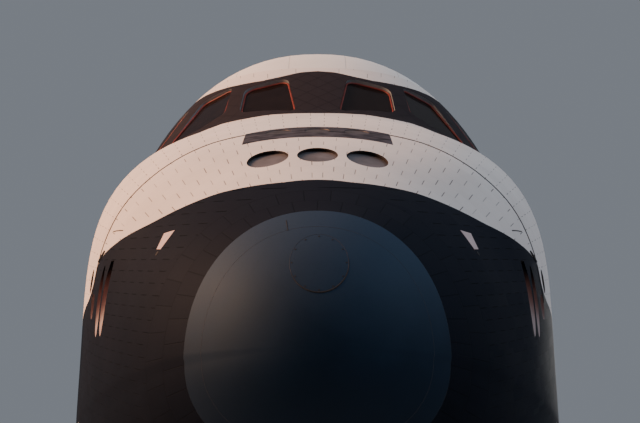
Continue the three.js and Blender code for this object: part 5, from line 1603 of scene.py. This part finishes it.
def build_aft_fuselage():
    half = SPINE["half"]
    spine = block((-half, half), (BAY_END, BASE), (SPINE["foot"], SPINE["top"] - SEAT))
    body = hull([BAY_END, BASE]) + spine
    for _, at, up, out in ENGINES:
        way = tilt(up, out)
        body = body - bar(np.array(at) - way * SEAT, np.array(at) + way * 150, ENGINE_BAY + SEAT, 72)

    def choose(middles, normals):
        base = (normals[:, 1] > 0.7) & (middles[:, 1] > BASE - 1)
        inside = outside_skin(middles) < -1.0
        return np.where(base, 1, np.where(inside & (middles[:, 2] < 480), 2, 0))

    piece("aft_fuselage_shell", body, "airframe", ["skin", "black_back", "dark_metal"], "blanket",
          ["aft_fuselage"], choose, tiles=True)
    station, height = FLAP["hinge"]
    cheek, radius = FLAP["half"] + 2, FLAP["radius"]
    rows = [
        (BASE - 40, WING_FLOOR + 2, height + radius + 2),
        (station + 2, height - radius, height + radius),
    ]
    shelf = loft([[(cheek, y, low), (cheek, y, high), (-cheek, y, high), (-cheek, y, low)]
                  for y, low, high in rows])
    inside = FLAP["half"] + RUN
    cove = rod((0, station, height), "x", inside, (radius + RUN) * 1.01, 48)
    lip = block((-inside, inside), (station - radius * 0.4, 2000), (200, 310))
    pins = [rod((side * 101, station, height), "x", 3, FLAP["pin"]) for side in (-1, 1)]
    piece("flap_shelf", joined([shelf - cove - lip, *pins]), "airframe", ["black_flat"], "black_tile")


def build_flap():
    station, height = FLAP["hinge"]
    foot, back = height - FLAP["radius"] + 2, station + FLAP["chord"]
    nose = round_nose(station, height, FLAP["radius"])
    outline = np.vstack([nose, [(back, foot), (back, foot + FLAP["edge"] * 2)]])
    body = loft([ring_at(span, outline) for span in (-FLAP["half"], FLAP["half"])])
    for side in (-1, 1):
        body = body - rod((side * 101.5, station, height), "x", 4.5, FLAP["pin"] + PIN_ROOM, 32)
    piece("body_flap_shell", body, "flap", ["black_flat"], "black_tile", ["body_flap"], bevel=0.2)


def tail_choice(middles, _):
    """Black tiles along the leading edge, blankets behind."""
    front = np.interp(middles[:, 2], FIN_FRONT["heights"], FIN_FRONT["stations"])
    return np.where(middles[:, 1] < front + FIN_FRONT["tiles"], 1, 0)


def build_tail():
    piece("tail_fin", cad_solid("vertical_tail"), "airframe", ["quilt_side", "black_side"], "blanket",
          ["vertical_tail"], tail_choice, bevel=0.15)
    height, radius = CHUTE["height"], CHUTE["radius"] + 0.25
    end = (0, CHUTE["to"] - CHUTE["nose"], height)
    case = bar((0, CHUTE["from"] + 20, height), end, radius, 64)
    nose = bar(end, (0, CHUTE["to"] + 0.1, height), radius, 64, radius - CHUTE["nose"])
    piece("chute_case", case + nose, "airframe", ["quilt_side"], "blanket")
    post = cad_solid("rudder_post")
    piece("rudder_post_skin", post, "rudder", ["black_side"], "black_tile", ["rudder_post"])
    for side in SIDES:
        node = f"speedbrake_{side}"
        panel = cad_solid(node)
        piece(f"speedbrake_skin_{side}", panel, node, ["quilt_side"], "blanket", [node], bevel=0.15)


def smooth_rows(table, count):
    """Rows between a table's own, by cubics whose slope at each row is that of the rows beside it."""
    stations = table[:, 0]
    slopes = np.gradient(table, stations, axis=0)
    fine = np.unique(np.concatenate([np.linspace(stations[0], stations[-1], count), stations]))
    i = np.clip(np.searchsorted(stations, fine, side="right") - 1, 0, len(stations) - 2)
    step = (stations[i + 1] - stations[i])[:, None]
    t = ((fine - stations[i])[:, None]) / step
    start = (2 * t**3 - 3 * t**2 + 1) * table[i] + (t**3 - 2 * t**2 + t) * step * slopes[i]
    return start + (-2 * t**3 + 3 * t**2) * table[i + 1] + (t**3 - t**2) * step * slopes[i + 1]


def pod_rings(rows, sides):
    """Rings whose x and z are the half sizes times cos^(2/n) and sin^(2/n), with their signs."""
    turn = (np.arange(sides) + 0.5) / sides * 2 * np.pi
    cos, sin = np.cos(turn)[None], np.sin(turn)[None]
    station, span, height, width, rise, power = (rows[:, k, None] for k in range(6))
    x = span + width * np.sign(cos) * np.abs(cos) ** (2 / power)
    z = height + rise * np.sign(sin) * np.abs(sin) ** (2 / power)
    return np.stack([x, np.broadcast_to(station, x.shape), z], -1)


POD_JETS = [
    # middle, way it points, radius
    *[((134.5, station, 462), (1, 0, 0.05), 4.6) for station in (1538, 1551, 1563)],
    *[((x, station, 486.5), (0, 0, 1), 4.4) for x, station in ((111, 1536), (123, 1536), (117, 1550))],
    *[((x, 1576, z), (0, 1, 0), 3.8) for x, z in ((113, 468), (121, 454))],
]
POD_LOOKS = {"jets": 1526, "front": 1336, "base": 1500}  # stations where a pod's looks change
POD_BELL = {"throat": 4.5, "flare": 16.5, "power": 0.65, "wall": 1, "start": 14, "length": 58}


def in_jets(middles):
    """True for faces inside one of the jets' bores."""
    found = np.zeros(len(middles), bool)
    for at, way, radius in POD_JETS:
        way = np.array(way, float) / np.linalg.norm(way)
        offset = middles - np.array(at)
        along = offset @ way
        away = np.linalg.norm(offset - along[:, None] * way, axis=1)
        found |= (away < radius * 1.06) & (along < 1.5) & (along > -9) & (away > radius * 0.3)
    return found


def pod_choice(middles, normals):
    """Blankets, with black tiles in front and round the jets, a dark base, and the jets' liners."""
    jets = middles[:, 1] > POD_LOOKS["jets"]
    front = middles[:, 1] < POD_LOOKS["front"]
    base = (normals[:, 1] > 0.8) & (middles[:, 1] > POD_LOOKS["base"])
    return np.where(jets & in_jets(middles), 3, np.where(base, 2, np.where(front | jets, 1, 0)))


def build_pods():
    body = joined([loft(pod_rings(smooth_rows(POD_SECTIONS, 40), 72)),
                   loft(pod_rings(smooth_rows(JETS_SECTIONS, 24), 64))])
    beside = hull(np.array([1200.0, 1700.0]), -SEAT)
    body = body - beside - block((-FAR, 17.5), (1200, 1700), (400, 600))
    for at, way, radius in POD_JETS:
        at, way = np.array(at), np.array(way, float)
        body = body - bar(at - way * 7, at + way * 6, radius * 0.8, 28, radius * 1.1)
    way = tilt(POD_NOZZLE["up"], POD_NOZZLE["out"])
    fine = np.linspace(0, 1, 28)
    start = POD_BELL["start"]
    radius = POD_BELL["throat"] + POD_BELL["flare"] * fine ** POD_BELL["power"]
    inner = np.stack([radius, start + POD_BELL["length"] * fine], -1)
    outer = inner + (POD_BELL["wall"], 0)
    profile = np.vstack([[(0, -6), (10, -6), (10, 10)], outer, inner[::-1], [(0, start)]])
    nozzle = turned(profile, POD_NOZZLE["at"], way, 72) - block((40, 140), (1400, 1520 + SEAT), (400, 600))
    metal = bell_metal("pod_bell", way, POD_NOZZLE["at"], BELL_COLOURS["pod"], 60, 0.42, 0.7)
    MATERIALS["pod_bell"] = metal
    pair("pod_shell_{}", body, "airframe", ["quilt_side", "black_side", "black_back", "liner"],
         "blanket", ["oms_pod_{}"], choose=pod_choice)
    pair("pod_bell_{}", nozzle, "airframe", ["pod_bell"], "engine", ["oms_nozzle_{}"])


BELL_COLOURS = {"main": (0.3, 0.28, 0.26), "pod": (0.16, 0.155, 0.16)}
BELL = {"throat": 50, "mouth": 168, "radius": 7, "flare": 39.5, "power": 0.62, "wall": 1.4}
ENGINE_HEAD = [(0, 0), (12, 0), (24, 4), (27, 8), (27, 38), (24, 42), (20, 46)]
ENGINE_SHIELD = [(0, 30), (ENGINE_BAY - 0.05, 30), (ENGINE_BAY - 0.05, 36), (33, 41), (24, 44.5), (0, 44.5)]
BANDS = (0.06, 0.14, 0.23, 0.33, 0.44, 0.56, 0.68, 0.8, 0.91, 0.995)  # shares of the bell's length
PIPES = [
    # place round the bell in radians, radius
    (0.6, 1.5),
    (2.4, 1.1),
    (4.1, 1.3),
]


def bell_radius(share):
    return BELL["radius"] + BELL["flare"] * share ** BELL["power"]


def band_profile(share):
    """A flat hoop on the bell. The last one ends at the mouth."""
    radius = bell_radius(share) + 1.3
    middle = BELL["throat"] + (BELL["mouth"] - BELL["throat"]) * share
    last = share == BANDS[-1]
    wide = 1.3 if last else 0.9
    back = 0 if last else wide
    return [(radius - 0.6, middle - wide), (radius + 0.7, middle - wide * 0.6),
            (radius + 0.7, middle + back * 0.6), (radius - 0.6, middle + back)]


def bell_pipe(at, way, turn, radius):
    """A pipe along the outside of a bell."""
    side, over = across(way)
    out_way = math.cos(turn) * side + math.sin(turn) * over
    distances = np.linspace(46, 166, 30)
    shares = np.clip((distances - BELL["throat"]) / (BELL["mouth"] - BELL["throat"]), 0, 1)
    away = bell_radius(shares) + 3.6
    path = np.array(at) + way * distances[:, None] + out_way * away[:, None]
    return tube(path, radius, 12, up=over + 0.01 * side)


def build_engines():
    fine = np.linspace(0, 1, 44)
    distance = BELL["throat"] + (BELL["mouth"] - BELL["throat"]) * fine
    inner = np.stack([bell_radius(fine), distance], -1)
    outer = inner + (BELL["wall"], 0)
    profile = np.vstack([ENGINE_HEAD, outer, inner[::-1], [(0, BELL["throat"])]])
    for name, at, up, out in ENGINES:
        way = tilt(up, out)
        MATERIALS[name] = bell_metal(name, way, at, BELL_COLOURS["main"], 120, 0.34, 0.9)
        piece(f"{name}_bell", turned(profile, at, way, 96), "airframe", [name], "engine", [name])
        bands = joined([turned(band_profile(share), at, way, 96) for share in BANDS])
        piece(f"{name}_bands", bands, "airframe", ["dark_metal"], "engine")
        shield = turned(ENGINE_SHIELD, at, way, 72)
        piece(f"{name}_shield", shield, "airframe", ["quilt_side"], "blanket")
        pipes = joined([bell_pipe(at, way, *pipe) for pipe in PIPES])
        piece(f"{name}_pipes", pipes, "airframe", ["steel"], "engine")


# Landing gear.
def ground_at(station):
    return (GROUND - station * math.sin(PARKED_PITCH)) / math.cos(PARKED_PITCH)


def axle_height(gear):
    return ground_at(gear["station"]) + gear["tyre"] / math.cos(PARKED_PITCH)


def tyre_solid(gear, span, grooves=3):
    """A tyre: side walls bulge as half an oval between the bead and the tread, which has square grooves."""
    radius, half, rim = gear["tyre"], gear["width"] / 2, gear["rim"]
    deep = radius - rim
    turn = np.linspace(0, 1, 14)
    bulge = half * (0.72 + 0.28 * np.sin(np.pi * turn**0.8) ** 0.8)
    wall = np.stack([rim + deep * 0.94 * turn, bulge], -1)
    wall[-1, 1] = half * 0.72
    groove_half, groove_deep = half * 0.035, deep * 0.05
    tread = []
    for middle in np.linspace(-0.45, 0.45, grooves) * half * 0.9:
        for side, level in ((-1.4, 0), (-1, groove_deep), (1, groove_deep), (1.4, 0)):
            tread.append((radius - level, middle + side * groove_half))
    shoulder = [(radius, half * 0.5), (radius - deep * 0.02, half * 0.58)]
    mirrored = [(out, -away) for out, away in reversed(shoulder)]
    profile = np.vstack([wall * (1, -1), mirrored, tread, shoulder, wall[::-1]])
    return turned(profile, (span, gear["station"], axle_height(gear)), (1, 0, 0), TYRE_SIDES)


WHEEL_HOLES = {"count": 8, "ring": 0.62, "radius": 0.1}
WHEEL_PROFILE = [
    # share of the rim's radius, share of half the width
    (0, -0.9), (0.3, -0.9), (0.36, -1), (0.8, -0.25), (0.86, -1), (1, -1),
    (1, 1), (0.86, 1), (0.8, 0.25), (0.36, 1), (0.3, 0.9), (0, 0.9),
]


def wheel_solid(gear, span):
    """A wheel: a drum with rolled rims and a dished web with holes."""
    middle = np.array([span, gear["station"], axle_height(gear)])
    rim, half = gear["rim"] - SEAT, gear["width"] * BEAD
    body = turned(np.array(WHEEL_PROFILE) * (rim, half), middle, (1, 0, 0), 72)
    count = WHEEL_HOLES["count"]
    for turn in np.arange(count) * 2 * np.pi / count:
        hole = middle + WHEEL_HOLES["ring"] * rim * np.array([0, math.cos(turn), math.sin(turn)])
        body = body - rod(hole, "x", half * 1.2, rim * WHEEL_HOLES["radius"], 16)
    return body


def wheelset(gear, span):
    """Two wheels on their axle."""
    middle = (span, gear["station"], axle_height(gear))
    axle = rod(middle, "x", gear["track"] + gear["width"] * BEAD * 0.5, gear["axle"], 40)
    return joined([axle, *[wheel_solid(gear, span + side * gear["track"]) for side in (-1, 1)]])


def build_gear():
    nose, main = NOSE_GEAR, MAIN_GEAR
    for node in ("nose_gear_leg", "nose_gear_fork", "main_gear_leg_left", "main_gear_leg_right"):
        body = "nose_fork" if node == "nose_gear_fork" else "airframe"
        piece(f"{node}_casting", cad_solid(node), body, ["gear", "steel"], "gear", [node], gear_choice,
              sharp=35, bevel=0.15)
    tyre = tyre_solid(nose, nose["track"], 2)
    pair("nose_tyre_tread_{}", tyre, "nose_wheels", ["rubber"], "tyre", ["nose_tyre_{}"])
    for place, side in (("inner", -1), ("outer", 1)):
        tyre = tyre_solid(main, main["span"] + side * main["track"])
        pair(f"main_tyre_tread_{place}_{{}}", tyre, "main_wheels_{}", ["rubber"], "tyre",
             [f"main_tyre_{place}_{{}}"])
    piece("nose_wheels_cast", wheelset(nose, 0), "nose_wheels", ["gear"], "gear", ["nose_wheelset"],
          bevel=0.08)
    pair("main_wheels_cast_{}", wheelset(main, main["span"]), "main_wheels_{}", ["gear"], "gear",
         ["main_wheelset_{}"], bevel=0.08)


def gear_choice(middles, _):
    """Polished steel on the sliding pistons, paint elsewhere."""
    span, station, height = np.abs(middles[:, 0]), middles[:, 1], middles[:, 2]
    low, high, radius = PISTONS["nose"]
    nose = (station < CABIN_END) & (height < high) & (height > low) & (span < radius)
    away = np.hypot(span - MAIN_GEAR["span"], station - MAIN_GEAR["station"])
    low, high, radius = PISTONS["main"]
    main = (height < high) & (height > low) & (away < radius)
    return np.where(nose | main, 1, 0)


def door_choice(middles, normals):
    """Tiles on the outer face, which hangs outboard, and paint inside."""
    outward = normals[:, 0] * np.sign(middles[:, 0])
    return np.where(outward > 0.4, 0, 1)


GEAR_DOORS = [
    # gear, look, slot
    ("nose", "white_side", "white_tile"),
    ("main", "black_side", "black_tile"),
]


def build_gear_doors():
    for side in SIDES:
        for part, look, slot in GEAR_DOORS:
            node = f"{part}_gear_door_{side}"
            piece(f"{part}_door_panel_{side}", cad_solid(node), "airframe", [look, "frame"], slot, [node],
                  door_choice, bevel=0.15)


# Stage.
SENSOR_WIDTH = 36
FAR_CLIP = 500
FLOOR_HALF = 400
SKY = {"colour": (0.62, 0.68, 0.78, 1), "strength": 0.3}
LIGHTS = [
    # name, place, target, size, the setting that gives its power, colour, whether it shows in gloss
    ("key", (-24, -18, 17), (0, -15, 3.5), (16, 12), "key", (1.0, 0.55, 0.33), True),
    ("fill", (20, -24, 20), (0, -15, 3.5), (16, 12), "fill", (0.62, 0.78, 1.0), True),
    ("overhead", (0, 4, 32), (0, 5, 5), (30, 40), "overhead", (0.96, 0.97, 1.0), False),
    ("rear", (14, 40, 16), (0, 14, 6), (18, 12), "overhead", (1.0, 0.97, 0.93), True),
]


def placed(name, data):
    made = bpy.data.objects.new(name, data)
    bpy.context.scene.collection.objects.link(made)
    return made


def add_light(name, place, target, size, setting, colour, glossy):
    data = bpy.data.lights.new(name, "AREA")
    data.shape = "RECTANGLE"
    data.size, data.size_y = size
    data.energy = getattr(bpy.context.scene.orbiter, setting)
    data.color = colour
    light = placed(name, data)
    light.location = place
    light.rotation_mode = "QUATERNION"
    light.rotation_quaternion = (Vector(target) - Vector(place)).to_track_quat("-Z", "Y")
    light.visible_glossy = glossy


def add_camera():
    data = bpy.data.cameras.new("camera")
    data.sensor_width = SENSOR_WIDTH
    data.lens = FOCAL_PIXELS / IMAGE_WIDTH * SENSOR_WIDTH
    data.shift_x = (IMAGE_WIDTH / 2 - MIDDLE_PIXEL) / IMAGE_WIDTH
    data.clip_end = FAR_CLIP
    camera = placed("camera", data)
    camera.location = PARKED @ Vector(VIEWPOINT)
    camera.rotation_euler = (math.pi / 2 + VIEW_PITCH + PARKED_PITCH, 0, 0)
    bpy.context.scene.camera = camera


def add_floor():
    corners = [(x * FLOOR_HALF, y * FLOOR_HALF, 0) for x, y in ((-1, -1), (1, -1), (1, 1), (-1, 1))]
    mesh = bpy.data.meshes.new("floor")
    mesh.from_pydata(corners, [], [(0, 1, 2, 3)])
    shade = Shade("floor_paint")
    cloud = shade.noise(shade.node("ShaderNodeTexCoord", output="Object"), 0.3, 2)
    colour = shade.mix(cloud, TONES["floor_dark"], TONES["floor_light"])
    mesh.materials.append(shade.surface(colour, 0.75))
    floor = placed("floor", mesh)


def build_stage():
    add_camera()
    add_floor()
    world = bpy.data.worlds.new("studio")
    world.use_nodes = True
    background = world.node_tree.nodes["Background"]
    background.inputs["Color"].default_value = SKY["colour"]
    background.inputs["Strength"].default_value = SKY["strength"]
    bpy.context.scene.world = world
    for light in LIGHTS:
        add_light(*light)


# Operators: one for each group of like pieces and one for the stage.
STEPS = [
    # name, label, what it makes, function
    ("nose_cap", "Nose cap", "Carbon nose cap with its round access plate", build_nose_cap),
    ("module", "Forward thrusters", "Forward thruster module with its jets and seam", build_module),
    ("forward_fuselage", "Forward fuselage", "Both halves of the forward fuselage", build_forward_fuselage),
    ("windows", "Windows", "Panes and seals of the cabin's windows", build_windows),
    ("hatch", "Side hatch", "Side hatch with its window and hinge", build_hatch),
    ("cabin", "Cabin", "Flight deck, seats and instrument panel", build_cabin),
    ("mid_fuselage", "Mid fuselage", "Payload bay with its frames and sill hinges", build_mid_fuselage),
    ("doors", "Payload bay doors", "Doors with their radiators", build_doors),
    ("wings", "Wings", "Wings with their carbon edge panels", build_wings),
    ("elevons", "Elevons", "Inboard and outboard elevons", build_elevons),
    ("aft_fuselage", "Aft fuselage", "Aft fuselage with its base and flap shelf", build_aft_fuselage),
    ("flap", "Body flap", "Body flap", build_flap),
    ("tail", "Tail", "Fin, rudder post, speedbrakes and chute case", build_tail),
    ("pods", "Rear pods", "Rear pods with their jets and bells", build_pods),
    ("engines", "Main engines", "Main engines with bands, pipes and shields", build_engines),
    ("gear", "Landing gear", "Legs, wheels and tyres", build_gear),
    ("gear_doors", "Gear doors", "Nose and main gear doors", build_gear_doors),
]


class ORBITER_OT_stage(bpy.types.Operator):
    """Camera, floor and lights"""

    bl_idname = "orbiter.stage"
    bl_label = "Stage"

    def execute(self, context):
        build_stage()
        return {"FINISHED"}


def operator_class(name, label, text, build):
    """An operator that builds one group of pieces."""

    def execute(self, context):
        build()
        return {"FINISHED"}

    members = {"bl_idname": f"orbiter.{name}", "bl_label": label, "__doc__": text, "execute": execute}
    return type(f"ORBITER_OT_{name}", (bpy.types.Operator,), members)


class ORBITER_PT_panel(bpy.types.Panel):
    """The orbiter's settings and operators"""

    bl_label = "Orbiter"
    bl_idname = "ORBITER_PT_panel"
    bl_space_type = "VIEW_3D"
    bl_region_type = "UI"
    bl_category = "Orbiter"

    def draw(self, context):
        column = self.layout.column()
        for name in OrbiterSettings.__annotations__:
            column.prop(context.scene.orbiter, name)
        column.operator("orbiter.stage")
        for name, *_ in STEPS:
            column.operator(f"orbiter.{name}")


CLASSES = [
    OrbiterSettings,
    ORBITER_OT_stage,
    *[operator_class(*step) for step in STEPS],
    ORBITER_PT_panel,
]


def register():
    for made in CLASSES:
        bpy.utils.register_class(made)
    bpy.types.Scene.orbiter = PointerProperty(type=OrbiterSettings)


def unregister():
    del bpy.types.Scene.orbiter
    for made in reversed(CLASSES):
        bpy.utils.unregister_class(made)


def main():
    register()
    bpy.ops.orbiter.stage()
    make_materials()
    for name, *_ in STEPS:
        getattr(bpy.ops.orbiter, name)()
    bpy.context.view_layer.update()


if __name__ == "__main__":
    main()
